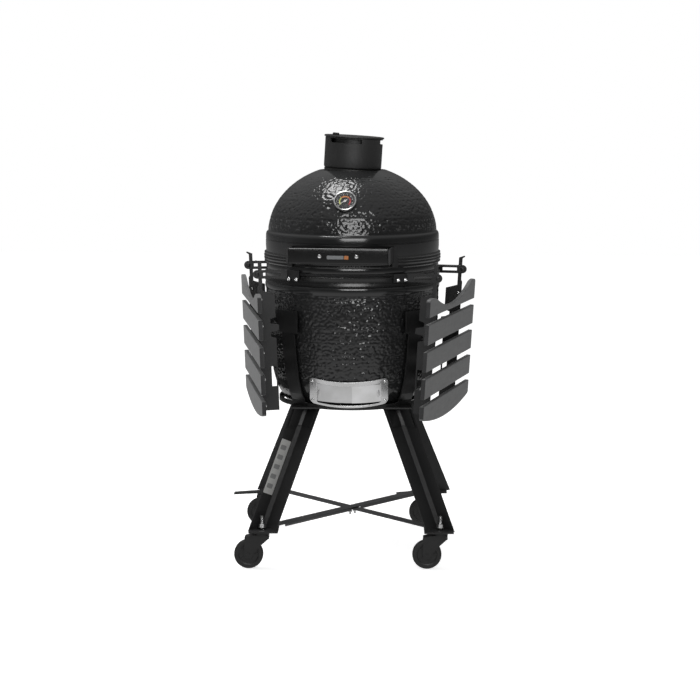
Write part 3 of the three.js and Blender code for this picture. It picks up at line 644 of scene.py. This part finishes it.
def thread(form, place, radius, low, high, pitch=1.6):
    """A threaded stud as a stack of shallow rings."""
    profile = [(0, low), (radius - 0.5, low)]
    count = int((high - low) / pitch)
    for i in range(count):
        z = low + i * pitch
        profile += [(radius - 0.5, z + 0.05), (radius, z + pitch * 0.5), (radius - 0.5, z + pitch * 0.95)]
    profile += [(radius - 1.2, high), (0, high)]
    form.lathe(profile, 18, place)


# --- bands, hinge and handle
def make_bands():
    inner, outer = 227.6, BAND_RADIUS
    profile = [(inner, 771.2), (outer - 1.6, 771.2), (outer - 1.0, 772), (outer - 1.0, 775.5),
               (outer - 1.6, 776.6)]
    profile += [(outer - 1.4, 778), (outer - 0.2, 779.6), (outer, 781.5), (outer - 0.3, 783.5),
                (outer - 1.2, 784.8)]
    profile += [(outer - 0.3, 786.2), (outer, 788), (outer - 0.2, 789.6), (outer - 1.4, 791.2)]
    profile += [(outer - 1.6, 792.4), (outer - 1.0, 793.4), (outer - 1.0, 796.2), (outer - 1.8, 797)]
    profile += [(inner, 797), (inner, 771.2)]
    piece("dome_band_ribbed", Form().lathe(profile, SEGMENTS), BAND, "lid", ["dome_band"])
    inner, outer = 226.4, BASE_BAND_RADIUS
    profile = [(inner, 722), (outer - 0.8, 722), (outer, 722.8), (outer, 727), (outer - 0.9, 728.4)]
    profile += [(outer - 0.9, 739.6), (outer, 741), (outer, 745.2), (outer - 0.8, 746), (inner, 746),
                (inner, 722)]
    piece("base_band_rolled", Form().lathe(profile, SEGMENTS), BAND, "stand", ["base_band"])


def make_handle():
    place = turn("Z", HANDLE_TURN)
    length, low, tall, front, deep = 250.4, 783.5, 40, 268, 20
    grip = Form().prism(rounded(deep, tall, 4.5, 5), -length / 2, length / 2,
                        shift(0, deep / 2 - front, low + tall / 2) @ turn("Z", 90) @ turn("X", 90))
    piece("handle_bar", grip, GRIP, "lid", ["handle_grip"], bevel=1.2, place=place)
    for node in ("handle_bracket_left", "handle_bracket_right"):
        finish_cad(node, POWDER, 0.8)
    face = shift(0, -front, low + tall / 2) @ turn("X", 90)
    plate = Form().prism(rounded(42, 9, 1.5), 0, 0.9, face @ shift(-7, -2.5, 0))
    piece("handle_plate", plate, PLATE_GREY, "lid", bevel=0.3, place=place)
    accent = Form().prism(rounded(11, 9, 1.5), 0, 0.9, face @ shift(21, -2.5, 0))
    piece("handle_plate_end", accent, PRINT_ORANGE, "lid", bevel=0.3, place=place)
    heads = Form()
    for x in (-46.5, 46.5):
        pan_head(heads, face @ shift(x, 0, -0.2), 5.0, 3.2)
    piece("handle_screws", heads, ZINC, "lid", place=place)


def make_hinge():
    for node in ("hinge_dome_bracket", "hinge_base_bracket"):
        finish_cad(node, POWDER, 0.8)
    y, z = 276, 731
    along = shift(0, y, z) @ turn("Y", 90)
    pin = Form().rod(5, -66, 66, along, 28)
    hex_nut(pin, along @ shift(0, 0, 66), 14, 4)
    pin.rod(8, -70, -66, along, 28, 0.8)
    piece("hinge_pin_steel", pin, ZINC, "stand", ["hinge_pin"])
    coil = []
    turns, per_turn = 6, 20
    for i in range(turns * per_turn + 1):
        t = i / (turns * per_turn)
        angle = t * turns * 2 * math.pi
        coil.append(((t - 0.5) * 56, y + 8.5 * math.cos(angle), z + 8.5 * math.sin(angle)))
    piece("hinge_coil", Form().sweep(coil, 1.8, 10), ZINC, "stand", ["hinge_spring"])
    bolts = Form()
    for plan, radius, height in ((174, 235.4, 778), (186, 235.4, 778), (174, 235.4, 790), (186, 235.4, 790)):
        pan_head(bolts, out_of(plan, radius, height), 4, 2.6)
    piece("hinge_lid_bolts", bolts, ZINC, "lid")


# --- vent cap
CAP_FRAME = shift(0, 0, 1010.5) @ turn("Y", CAP_LEAN)
CAP_RADIUS = 75
CAP_HEIGHT = 80.5
CAP_WINDOWS = 3
WINDOW_START = -15
WINDOW_HALF = 35
TAB_AT = -42


def make_vent():
    wall = 4.5
    profile = [(48, -12), (51, -12), (51, 0), (69, 0), (72, 0.9), (74.2, 3), (CAP_RADIUS, 6)]
    profile += [(CAP_RADIUS, 30), (CAP_RADIUS, 55), (CAP_RADIUS, CAP_HEIGHT - 0.8),
                (CAP_RADIUS - 0.8, CAP_HEIGHT)]
    profile += [(CAP_RADIUS - wall, CAP_HEIGHT), (CAP_RADIUS - wall, 4), (48, 4), (48, -12)]
    body = piece("vent_casting", Form().lathe(profile, 96), CAST, "lid", ["vent_body"],
                 place=CAP_FRAME)
    windows = Form()
    for i in range(CAP_WINDOWS):
        middle = WINDOW_START + 360 / CAP_WINDOWS * i
        windows.curved_plate(60, 90, middle - WINDOW_HALF, middle + WINDOW_HALF, CAP_HEIGHT - 13.5,
                             CAP_HEIGHT - 2.5)
    cut_out(body, windows, CAP_FRAME)
    add_bevel(body, 0.6)
    low = CAP_HEIGHT + 0.3
    top = Form().lathe([(0, low), (77.4, low), (78, low + 0.8), (78, low + 3), (77, low + 4.2),
                        (74, low + 4.5),
                        (30, low + 4.5), (28, low + 4.5), (0, low + 4.5)], 96)
    tab = [(-10, 0), (10, 0), (9.4, 6), (8, 6.8), (-8, 6.8), (-9.4, 6)]
    top.prism(tab, -3, 3, turn("Z", TAB_AT) @ shift(0, -CAP_RADIUS + 9, low + 4.4) @ turn("X", 90))
    piece("vent_top", top, CAST, "vent_top", ["vent_lid"], bevel=0.5, place=CAP_FRAME)
    skirt = Form()
    collar = Form()
    collar.lathe([(58, 0), (73.6, 0), (73.6, 1), (58, 1), (58, 0)], 96)
    lean = math.tan(math.radians(CAP_LEAN))
    collar.verts = [(x, y, 1004.4 if z < 0.5 else 1010.7 - x * lean) for x, y, z in collar.verts]
    piece("vent_collar", collar, CAST, "lid")
    outer, inner = 63, 60
    skirt.lathe([(inner, low - 21), (outer, low - 21), (outer, low), (inner, low), (inner, low - 21)], 96)
    # The shutter's darkened black paint is painted shade: it makes the cap's windows read as dark hollows.
    shutter = piece("vent_shutter", skirt, SHADE_DARKENED_BLACK, "vent_top", place=CAP_FRAME)
    gaps = Form()
    for i in range(CAP_WINDOWS):
        middle = WINDOW_START + 360 / CAP_WINDOWS * (i + 0.5)
        gaps.curved_plate(50, 80, middle - 24, middle + 24, low - 16.5, low - 3)
    cut_out(shutter, gaps, CAP_FRAME)


# --- thermometer
GAUGE_Z = 934
GAUGE_TURN = -1.1


def gauge_frame():
    rise = GAUGE_Z - DOME_CENTRE_Z
    radius = DOME_RADIUS * math.sqrt(1 - (rise / DOME_HEIGHT) ** 2)
    elevation = math.degrees(math.atan2(rise / DOME_HEIGHT ** 2, radius / DOME_RADIUS ** 2))
    out = shift(0, -0.6 * math.cos(math.radians(elevation)), 0.6 * math.sin(math.radians(elevation)))
    return turn("Z", GAUGE_TURN) @ out @ shift(0, -radius, GAUGE_Z) @ turn("X", 90 - elevation)


GAUGE_FRAME = gauge_frame()


def ring_sector(form, inner, outer, from_deg, to_deg, z, thick=0.25):
    """A flat printed arc; angles run clockwise from the top of the dial."""
    steps = max(3, int(abs(to_deg - from_deg) / 6))
    angles = [math.radians(90 - from_deg - (to_deg - from_deg) * i / steps) for i in range(steps + 1)]
    outline = [(outer * math.cos(a), outer * math.sin(a)) for a in angles]
    outline += [(inner * math.cos(a), inner * math.sin(a)) for a in reversed(angles)]
    form.prism(outline, z, z + thick)


def make_thermometer():
    radius, face = 29, 4.2
    profile = [(0, -45), (2.2, -45), (3, -44), (3, 0), (26.5, 0), (28.4, 0.8), (radius, 2.2), (radius, 6.6)]
    profile += [(28.6, 8.2), (27.6, 9), (26.2, 9.2), (25.2, 8.6), (24.6, 7.4), (24.5, face), (0, face)]
    piece("gauge_case", Form().lathe(profile, 96), STEEL, "lid", ["thermometer_case"],
          place=GAUGE_FRAME)
    dial = Form().rod(24.4, face, face + 0.15, segments=72)
    piece("gauge_dial", dial, DIAL_BLACK, "lid", place=GAUGE_FRAME)
    top = face + 0.16
    bands = (("gauge_arc_low", PRINT_GREEN, -135, -45), ("gauge_arc_middle", PRINT_ORANGE, -44, 45),
             ("gauge_arc_high", PRINT_RED, 46, 135))
    for name, ink, start, end in bands:
        form = Form()
        ring_sector(form, 11.5, 15.5, start, end, top)
        piece(name, form, ink, "lid", place=GAUGE_FRAME)
    ticks = Form()
    for i in range(28):
        angle = -135 + 10 * i
        inner = 17.5 if i % 3 == 0 else 20
        mark = turn("Z", -angle)
        half = 0.45 if i % 3 == 0 else 0.25
        ticks.block((-half, inner, top), (half, 22.5, top + 0.2), mark)
    piece("gauge_ticks", ticks, PRINT_WHITE, "lid", place=GAUGE_FRAME)
    needle = Form().prism([(-1.5, -7), (1.5, -7), (0.45, 18), (-0.45, 18)], face + 0.9, face + 1.5,
                          turn("Z", 125))
    needle.lathe([(0, face + 0.4), (3.2, face + 0.4), (3.2, face + 1.8), (2.4, face + 2.3),
                  (0, face + 2.4)], 28)
    piece("gauge_needle", needle, NEEDLE_WHITE, "needle", ["thermometer_needle"],
          place=GAUGE_FRAME)
    glass = Form().lathe([(0, 7.1), (24.1, 7.1), (24.1, 7.9), (16, 8.4), (8, 8.65), (0, 8.75)], 64)
    piece("gauge_glass", glass, GLASS, "lid", ["thermometer_glass"], place=GAUGE_FRAME)


# --- draft door
DRAFT_RADIUS = 206
DRAFT_LEAN = 10
DRAFT_MIDDLE_Z = 444
DRAFT_SAG = 7  # how far the frame's two sides lift
SAG_HALF = 104  # half the width over which they do
DOOR_REACH = 205.2
SCREEN_REACH = 203.4


def draft_frame():
    lean = math.radians(DRAFT_LEAN)
    place = shift(0, -DRAFT_RADIUS * (1 - math.cos(lean)), DRAFT_MIDDLE_Z + DRAFT_RADIUS * math.sin(lean))
    return turn("Z", 1.6) @ place @ turn("X", DRAFT_LEAN)


DRAFT_FRAME = draft_frame()


def bent(form, radius):
    """Wraps a form drawn flat in X and Z, its front at y = 0, round a cylinder about Z."""
    verts = []
    for x, y, z in form.verts:
        angle = x / radius
        reach = radius - y
        verts.append((reach * math.sin(angle), -reach * math.cos(angle), z))
    form.verts = verts
    return form


def flat_strip(form, outer, inner, low, high):
    """A plate between two matched outlines in X and Z: a frame with a window."""
    count = len(outer)
    verts = [(x, low, z) for x, z in outer] + [(x, low, z) for x, z in inner]
    verts += [(x, high, z) for x, z in outer] + [(x, high, z) for x, z in inner]
    faces = []
    for i in range(count):
        j = (i + 1) % count
        faces.append((i, j, count + j, count + i))
        faces.append((2 * count + j, 2 * count + i, 3 * count + i, 3 * count + j))
        faces.append((j, i, 2 * count + i, 2 * count + j))
        faces.append((count + i, count + j, 3 * count + j, 3 * count + i))
    form.add(verts, faces)
    return form


def dense_rectangle(wide, tall, radius, long_steps=36, short_steps=6, corner_steps=6):
    """A rounded rectangle's outline in X and Z with enough points to bend."""
    corners = rounded(wide, tall, radius, corner_steps)
    points = []
    count = len(corners)
    for i in range(count):
        start, end = corners[i], corners[(i + 1) % count]
        length = math.dist(start, end)
        steps = 1
        if length > tall * 0.3:
            steps = long_steps if abs(end[0] - start[0]) > abs(end[1] - start[1]) else short_steps
        for k in range(steps):
            t = k / steps
            points.append((start[0] + (end[0] - start[0]) * t, start[1] + (end[1] - start[1]) * t))
    return points


def sagged(form, rise):
    """Lifts a form's two sides, as a strip bent onto a cone lies."""
    form.verts = [(x, y, z + rise * (x / SAG_HALF) ** 2) for x, y, z in form.verts]
    return form


def make_draft():
    wide, tall = 211, 69
    frame_form = Form()
    outer = dense_rectangle(wide, tall, 13)
    window = [(x, z - 2.7) for x, z in dense_rectangle(168, 51, 3)]
    flat_strip(frame_form, outer, window, 0, 2.4)
    piece("draft_frame_steel", sagged(bent(frame_form, DRAFT_RADIUS), DRAFT_SAG), STEEL, "stand",
          ["draft_frame"], bevel=1.1, place=DRAFT_FRAME, bevel_steps=3)
    collar = Form()
    sleeve = dense_rectangle(wide - 22.6, tall - 21.1, 4)
    throat = dense_rectangle(wide - 25, tall - 23.5, 3)
    flat_strip(collar, sleeve, throat, 5.2, 24)
    piece("draft_collar", bent(collar, DRAFT_RADIUS), CAST, "stand", place=DRAFT_FRAME)
    for name, body, node, start, wide_deg, radius in (
        ("draft_door_panel", "draft_door", "draft_door", 2.4, 23, DOOR_REACH),
        ("draft_screen_panel", "draft_screen", "draft_screen", -25.4, 28.5, SCREEN_REACH),
    ):
        panel = Form().curved_plate(radius - 1.1, radius, start, start + wide_deg, -21.5, 25.5, steps=30)
        steel = DOOR_STEEL if body == "draft_door" else SCREEN_STEEL
        piece(name, panel, steel, body, [node], bevel=0.3, place=DRAFT_FRAME)
    screws = Form()
    for x in (-96, 96):
        for z in (-25, 26):
            angle = math.degrees(x / DRAFT_RADIUS)
            lift = DRAFT_SAG * (math.sin(math.radians(angle)) * DRAFT_RADIUS / SAG_HALF) ** 2
            pan_head(screws, out_of(angle, DRAFT_RADIUS + 0.2, z + lift), 3.6, 2.2)
    piece("draft_screws", screws, ZINC, "stand", place=DRAFT_FRAME)
    for name, body, angle, radius in (
        ("draft_screen_pull", "draft_screen", -21.5, SCREEN_REACH),
        ("draft_door_pull", "draft_door", 21.5, DOOR_REACH),
    ):
        pull = Form().lathe([(0, 0), (9, 0), (9.6, 0.4), (8.4, 0.9), (4, 1.2), (0, 1.3)], 32,
                            out_of(angle, radius, 1) @ Matrix.Diagonal((0.42, 1, 1, 1)))
        piece(name, pull, SCREEN_STEEL, body, place=DRAFT_FRAME)


# --- fire parts
def make_fire_parts():
    finish_cad("firebox", CLAY, 1.2)
    finish_cad("charcoal_grate", CAST, 0.8)
    profile = [(153, 597), (153, 610), (155, 610.4), (176, 610.4), (178, 684), (180, 686), (192, 686),
               (194, 684)]
    profile += [(190, 598), (188, 596.3), (155, 596.3), (153, 597)]
    piece("fire_ring_clay", Form().lathe(profile, 96), CLAY, "stand", ["fire_ring"])
    grate = Form()
    ring = [(189 * math.cos(a), 189 * math.sin(a), 689.5) for a in np.linspace(0, 2 * math.pi, 97)]
    grate.sweep(ring, 3.0, 12)
    for x in np.arange(-165, 166, 15):
        half = math.sqrt(187 ** 2 - x ** 2)
        grate.rod(2.4, -half, half, shift(float(x), 0, 689.2) @ turn("X", 90), 12)
    piece("cooking_grate_bars", grate, GRATE_STEEL, "stand", ["cooking_grate"])


# --- stand
STAND = turn("Z", STAND_TURN)
CORNERS = (("front_left", -1, -1), ("front_right", 1, -1), ("rear_left", -1, 1), ("rear_right", 1, 1))
STEM = 228
REAR_BY = 45
LEG_BOTTOM = (228, 212, 97.3)
LEG_TOP = (117, 142, 403.7)


def corner(sx, sy, at, z=0):
    """A point over one of the stand's corners; the rear ones lie further out."""
    return shift(sx * at, sy * at + (REAR_BY if sy > 0 else 0), z)


def flange_frame(sx, z, along):
    """On a front leg's outer flange: X across it, Y up the leg, Z out of its face."""
    t = (z - LEG_BOTTOM[2]) / (LEG_TOP[2] - LEG_BOTTOM[2])
    x = LEG_BOTTOM[0] + (LEG_TOP[0] - LEG_BOTTOM[0]) * t
    y = LEG_BOTTOM[1] + (LEG_TOP[1] - LEG_BOTTOM[1]) * t
    across = Vector((sx, -1, 0)).normalized()
    rise = Vector((sx * (LEG_TOP[0] - LEG_BOTTOM[0]), LEG_BOTTOM[1] - LEG_TOP[1],
                   LEG_TOP[2] - LEG_BOTTOM[2]))
    up = rise.normalized()
    face = across.cross(up).normalized()
    if face.y > 0:
        face = -face
    side = up.cross(face)
    turned = Matrix((side, up, face)).transposed().to_4x4()
    start = Vector((sx * (x + 6), -y, z))
    return Matrix.Translation(start + across * along) @ turned


def make_stand():
    # The cradle's darkened black paint is partly painted shade, standing in for the shadow it lies in under
    # the left shelf.
    finish_cad("cradle", SHADE_DARKENED_BLACK, 0.9)
    finish_cad("brace_lower", BRACE_GREY, 0.5)
    finish_cad("brace_upper", BRACE_GREY, 0.5)
    for name, sx, sy in CORNERS:
        finish_cad(f"leg_{name}", LEG_BLACK, 0.8)
    bolts = Form()
    for name, sx, sy in CORNERS:
        hex_nut(bolts, corner(sx, sy, 203, 108.2), 10, 5)
    for offset in (-9, 9):
        stud = shift(0, REAR_BY / 2, 0) @ turn("Z", 48) @ shift(offset, 0, 0)
        bolts.rod(3.0, 86, 101, stud, 16, 0.6)
        hex_nut(bolts, stud @ shift(0, 0, 93), 10, 5)
    for sx in (-1, 1):
        pan_head(bolts, flange_frame(sx, 388, 29), 5.4, 3.4)
    piece("stand_bolts", bolts, ZINC, "stand", place=STAND)
    label = Form().prism(rounded(34, 146, 2), 0, 0.4, flange_frame(-1, 256, 20.5) @ shift(0, 0, 0.2))
    piece("leg_label", label, LABEL_WHITE, "stand", place=STAND)
    bars = Form()
    for i in range(5):
        bars.prism(rounded(20, 12, 3), 0, 0.2, flange_frame(-1, 256, 20.5) @ shift(-2, 26 * (i - 2), 0.7))
    piece("leg_label_bars", bars, LABEL_GREY, "stand", place=STAND)


# --- casters
def make_casters():
    for name, sx, sy in CORNERS:
        place = STAND @ corner(sx, sy, STEM)
        finish_cad(f"caster_fork_{name}", HUB, 0.9)
        make_wheel(name, place)
        fastener = Form()
        thread(fastener, None, 5.0, 101.5, 138)
        hex_nut(fastener, shift(0, 0, 108.2), 17, 8)
        fastener.lathe([(5.2, 106.8), (11, 106.8), (11, 108.1), (5.2, 108.1), (5.2, 106.8)], 28)
        piece(f"caster_stem_{name}", fastener, ZINC, "stand", place=place)
        if name.startswith("rear"):
            finish_cad(f"brake_pedal_{name}", HUB, 0.8)


def make_wheel(name, place):
    axle = place @ shift(-34.5, 0, 37.5) @ turn("X", 90)
    half, radius = 11, 37.5
    tread = [(27, -half + 1.5), (33.5, -half + 1), (radius - 1.4, -half + 2.2), (radius - 0.2, -half + 4.5)]
    tread += [(radius, 0), (radius - 0.2, half - 4.5), (radius - 1.4, half - 2.2), (33.5, half - 1)]
    tread += [(27, half - 1.5), (27, -half + 1.5)]
    body = f"wheel_{name}"
    piece(f"tyre_{name}", Form().lathe(tread, 72), TREAD, body, [f"caster_wheel_{name}"],
          place=axle)
    hub = [(4.4, -half + 0.2), (8, -half), (9, -half + 1.5), (11, -half + 3), (24, -half + 3),
           (26, -half + 1.2)]
    hub += [(27, -half + 1), (27, half - 1), (26, half - 1.2), (24, half - 3), (11, half - 3),
            (9, half - 1.5)]
    hub += [(8, half), (4.4, half - 0.2), (4.4, -half + 0.2)]
    form = Form().lathe(hub, 60)
    for i in range(5):
        spoke = turn("Z", 72 * i)
        form.block((9, -2, -half + 1.6), (25, 2, half - 1.6), spoke)
    piece(f"wheel_hub_{name}", form, HUB, body, place=axle)


# --- side shelves
SLAT_LENGTH = 480
SLAT_TALL = 51
SLAT_PITCH = 68.8
SLAT_FIRST = 88.2
SLAT_THICK = 11
RAIL_NEAR = -135
RAIL_FAR = 128
SIDES = (("left", -1, 77.6, 263.5, 750, 2.1), ("right", 1, 77.6, 267, 743, 3.5))


def shelf_frames(mirror, plan_deg, radius, pivot_z, lean):
    """The fixed frame at the pivot, and the hanging frame: X to the rear, Y outwards, Z up."""
    angle = math.radians(plan_deg)
    outwards = Vector((math.sin(angle), -math.cos(angle), 0))
    along = Vector((math.cos(angle), math.sin(angle), 0))
    fixed = Matrix.Identity(4)
    for row in range(3):
        fixed[row][0] = along[row]
        fixed[row][1] = outwards[row]
        fixed[row][2] = (0, 0, 1)[row]
        fixed[row][3] = (outwards * radius)[row]
    fixed[2][3] = pivot_z
    fixed = Matrix.Diagonal((mirror, 1, 1, 1)) @ fixed
    return fixed, fixed @ turn("X", -lean)


def slat_outline(index):
    half = SLAT_LENGTH / 2
    bottom = -SLAT_FIRST - index * SLAT_PITCH
    top = bottom + SLAT_TALL
    if index == 4:
        points = [(half, top), (-half, top), (-half, top - 30)]
        points += bezier((-half, top - 30), (-half, top - 36), (-half + 12, top - 38), 6)
        points += bezier((-half + 12, top - 38), (0, bottom - 26), (half - 12, top - 38), 32)
        points += bezier((half - 12, top - 38), (half, top - 36), (half, top - 30), 6)
        return points
    if index == 0:
        points = [(-half, bottom), (half, bottom), (half, top - 6)]
        points += bezier((half, top - 6), (half, top + 2), (half - 12, top + 3), 5)
        points += bezier((half - 12, top + 3), (half - 40, top + 5), (half - 66, top - 6), 8)
        points += bezier((half - 66, top - 6), (0, bottom - 17), (-half + 78, top - 13), 32)
        points += bezier((-half + 78, top - 13), (-half + 45, top - 2), (-half + 8, top - 6), 8)
        points += bezier((-half + 8, top - 6), (-half, top - 7), (-half, top - 12), 4)
        return points
    return [(-half, bottom), (half, bottom), (half, top), (-half, top)]


def make_shelves():
    for side, mirror, plan_deg, radius, pivot_z, lean in SIDES:
        fixed, hanging = shelf_frames(mirror, plan_deg, radius, pivot_z, lean)
        body = f"shelf_{side}"
        for i in range(5):
            form = Form().prism(slat_outline(i), 0, SLAT_THICK,
                                shift(0, 0.3 + SLAT_THICK, 0) @ turn("X", 90))
            board = piece(f"board_{side}_{i + 1}", form, SLAT, body, [f"slat_{side}_{i + 1}"],
                          bevel=1.5,
                          place=hanging, bevel_steps=3)
            paint_ends(board, SLAT_END, hanging.to_3x3() @ Vector((1, 0, 0)))
        screws = Form()
        for x in (RAIL_NEAR, RAIL_FAR):
            for i in range(5):
                z = -SLAT_FIRST - i * SLAT_PITCH + 24
                pan_head(screws, hanging @ shift(x, -8, z) @ turn("Y", -90), 3.6, 2.2)
        piece(f"shelf_screws_{side}", screws, ZINC, body)
        pivots = Form()
        for end, x in (("front", RAIL_NEAR), ("rear", RAIL_FAR)):
            finish_cad(f"shelf_rail_{side}_{end}", RAIL_BLACK, 0.6)
            finish_cad(f"shelf_arm_{side}_{end}", RAIL_BLACK, 0.6)
            pan_head(pivots, fixed @ shift(x - 4.4, 0, 0) @ turn("Y", -90), 5.5, 3.2)
        piece(f"shelf_pivot_bolts_{side}", pivots, RAIL_BLACK, "stand")


def make_band_bolts():
    """Pairs of bolts that clamp the shelf arms' feet to the base band."""
    bolts = Form()
    for plan in (-39.5, -33.2, 34.2, 39.6):
        pan_head(bolts, out_of(plan, BASE_BAND_RADIUS + 4, 738), 5.0, 3.2)
    for plan in (-118, -113, 114, 119):
        pan_head(bolts, out_of(plan, BASE_BAND_RADIUS + 4, 743), 5.0, 3.2)
    piece("band_bolts", bolts, ZINC, "stand")


# --- studio
def area_light(name, target, azimuth, elevation, distance, size, energy, glossy=True, diffuse=True):
    """A soft box; azimuth 0 is the grill's front, growing to the right."""
    a, e = math.radians(azimuth), math.radians(elevation)
    offset = Vector((math.sin(a) * math.cos(e), -math.cos(a) * math.cos(e), math.sin(e))) * distance
    data = bpy.data.lights.new(name, "AREA")
    data.shape = "RECTANGLE"
    data.size, data.size_y = size
    data.energy = energy
    light = bpy.data.objects.new(name, data)
    light.visible_glossy = glossy
    light.visible_diffuse = diffuse
    light.location = Vector(target) + offset
    light.rotation_euler = (-offset).to_track_quat("-Z", "Y").to_euler()
    bpy.context.scene.collection.objects.link(light)


def make_room():
    """A dim room, brighter overhead and towards the floor; the backdrop itself is seen as white."""
    world = bpy.data.worlds.new("studio")
    world.use_nodes = True
    tree = world.node_tree
    room = tree.nodes["Background"]
    coords = tree.nodes.new("ShaderNodeTexCoord")
    split = tree.nodes.new("ShaderNodeSeparateXYZ")
    height = tree.nodes.new("ShaderNodeMapRange")
    height.inputs["From Min"].default_value = -1
    shade = tree.nodes.new("ShaderNodeValToRGB")
    elements = shade.color_ramp.elements
    while len(elements) < len(ROOM_TONES):
        elements.new(0.5)
    for element, (position, tone) in zip(elements, ROOM_TONES):
        element.position = position
        element.color = (tone, tone, tone, 1)
    tree.links.new(coords.outputs["Generated"], split.inputs[0])
    tree.links.new(split.outputs["Z"], height.inputs["Value"])
    tree.links.new(height.outputs["Result"], shade.inputs["Fac"])
    tree.links.new(shade.outputs["Color"], room.inputs["Color"])
    backdrop = tree.nodes.new("ShaderNodeBackground")
    backdrop.inputs["Color"].default_value = (1, 1, 1, 1)
    seen = tree.nodes.new("ShaderNodeLightPath")
    pick = tree.nodes.new("ShaderNodeMixShader")
    tree.links.new(seen.outputs["Is Camera Ray"], pick.inputs[0])
    tree.links.new(room.outputs[0], pick.inputs[1])
    tree.links.new(backdrop.outputs[0], pick.inputs[2])
    tree.links.new(pick.outputs[0], tree.nodes["World Output"].inputs["Surface"])
    bpy.context.scene.world = world


def make_floor():
    """A pale floor that takes soft shadows but throws no light back up."""
    floor = Form().block((-9000, -9000, -12), (9000, 9000, -0.5))
    mesh = bpy.data.meshes.new("floor")
    mesh.from_pydata([tuple(Vector(v) / 1000) for v in floor.verts], [], floor.faces)
    ground = bpy.data.objects.new("floor", mesh)
    bpy.context.scene.collection.objects.link(ground)
    made = Nodes("pale_floor", Roughness=0.85, Emission_Strength=FLOOR_GLOW)
    made.shader.inputs["Emission Color"].default_value = (1, 1, 1, 1)
    pale = made.ramp(made.noise(3, 2), "Fac", [(0.2, (0.86, 0.86, 0.86)), (0.8, (0.89, 0.89, 0.89))])
    made.link(pale, "Color", made.shader, "Base Color")
    mesh.materials.append(made.material)
    ground.visible_diffuse = False
    ground.visible_glossy = False
    ground.visible_transmission = False


def make_lights():
    middle = (AXIS.x / 1000, AXIS.y / 1000, 0.75)
    area_light("overhead", middle, CAMERA_TURN - 100, 78.5, 2.6, (1.1, 0.9), 32)
    area_light("front", middle, CAMERA_TURN + 1, 22, 3.2, (1.7, 1.5), 54, diffuse=False)
    area_light("right_wall", middle, CAMERA_TURN + 92, 12, 3.0, (2.4, 2.0), 1, glossy=False)
    area_light("left_wall", middle, CAMERA_TURN - 100, 14, 3.0, (2.4, 2.0), 48, glossy=False)


ROOM_TONES = ((0.0, 0.8), (0.27, 0.85), (0.4, 0.4), (0.5, 0.14), (0.56, 0.1), (0.68, 0.2), (0.85, 0.45),
              (1.0, 0.5))
FLOOR_GLOW = 0.72
CAMERA_TURN = 4.5
CAMERA_RISE = 7.8
CAMERA_DISTANCE = 5.1
CAMERA_AIM_Z = 0.5327
CAMERA_LENS = 99.26
AXIS_OFFSET = 0.0063  # the camera aims this far to the left of the bowl's axis


def make_camera():
    a, e = math.radians(CAMERA_TURN), math.radians(CAMERA_RISE)
    back = Vector((math.sin(a) * math.cos(e), -math.cos(a) * math.cos(e), math.sin(e)))
    right = Vector((math.cos(a), math.sin(a), 0))
    aim = Vector((AXIS.x / 1000, AXIS.y / 1000, CAMERA_AIM_Z)) - right * AXIS_OFFSET
    data = bpy.data.cameras.new("camera")
    data.lens = CAMERA_LENS
    data.sensor_width = 36
    data.clip_end = 60
    camera = bpy.data.objects.new("camera", data)
    camera.location = aim + back * CAMERA_DISTANCE
    camera.rotation_euler = back.to_track_quat("Z", "Y").to_euler()
    bpy.context.scene.collection.objects.link(camera)
    bpy.context.scene.camera = camera


make_dome()
make_base()
make_gaskets()
make_bands()
make_handle()
make_hinge()
make_vent()
make_thermometer()
make_draft()
make_fire_parts()
make_stand()
make_casters()
make_shelves()
make_band_bolts()
make_camera()
make_room()
make_floor()
make_lights()
bpy.context.scene.view_settings.view_transform = "Standard"

bpy.context.view_layer.update()
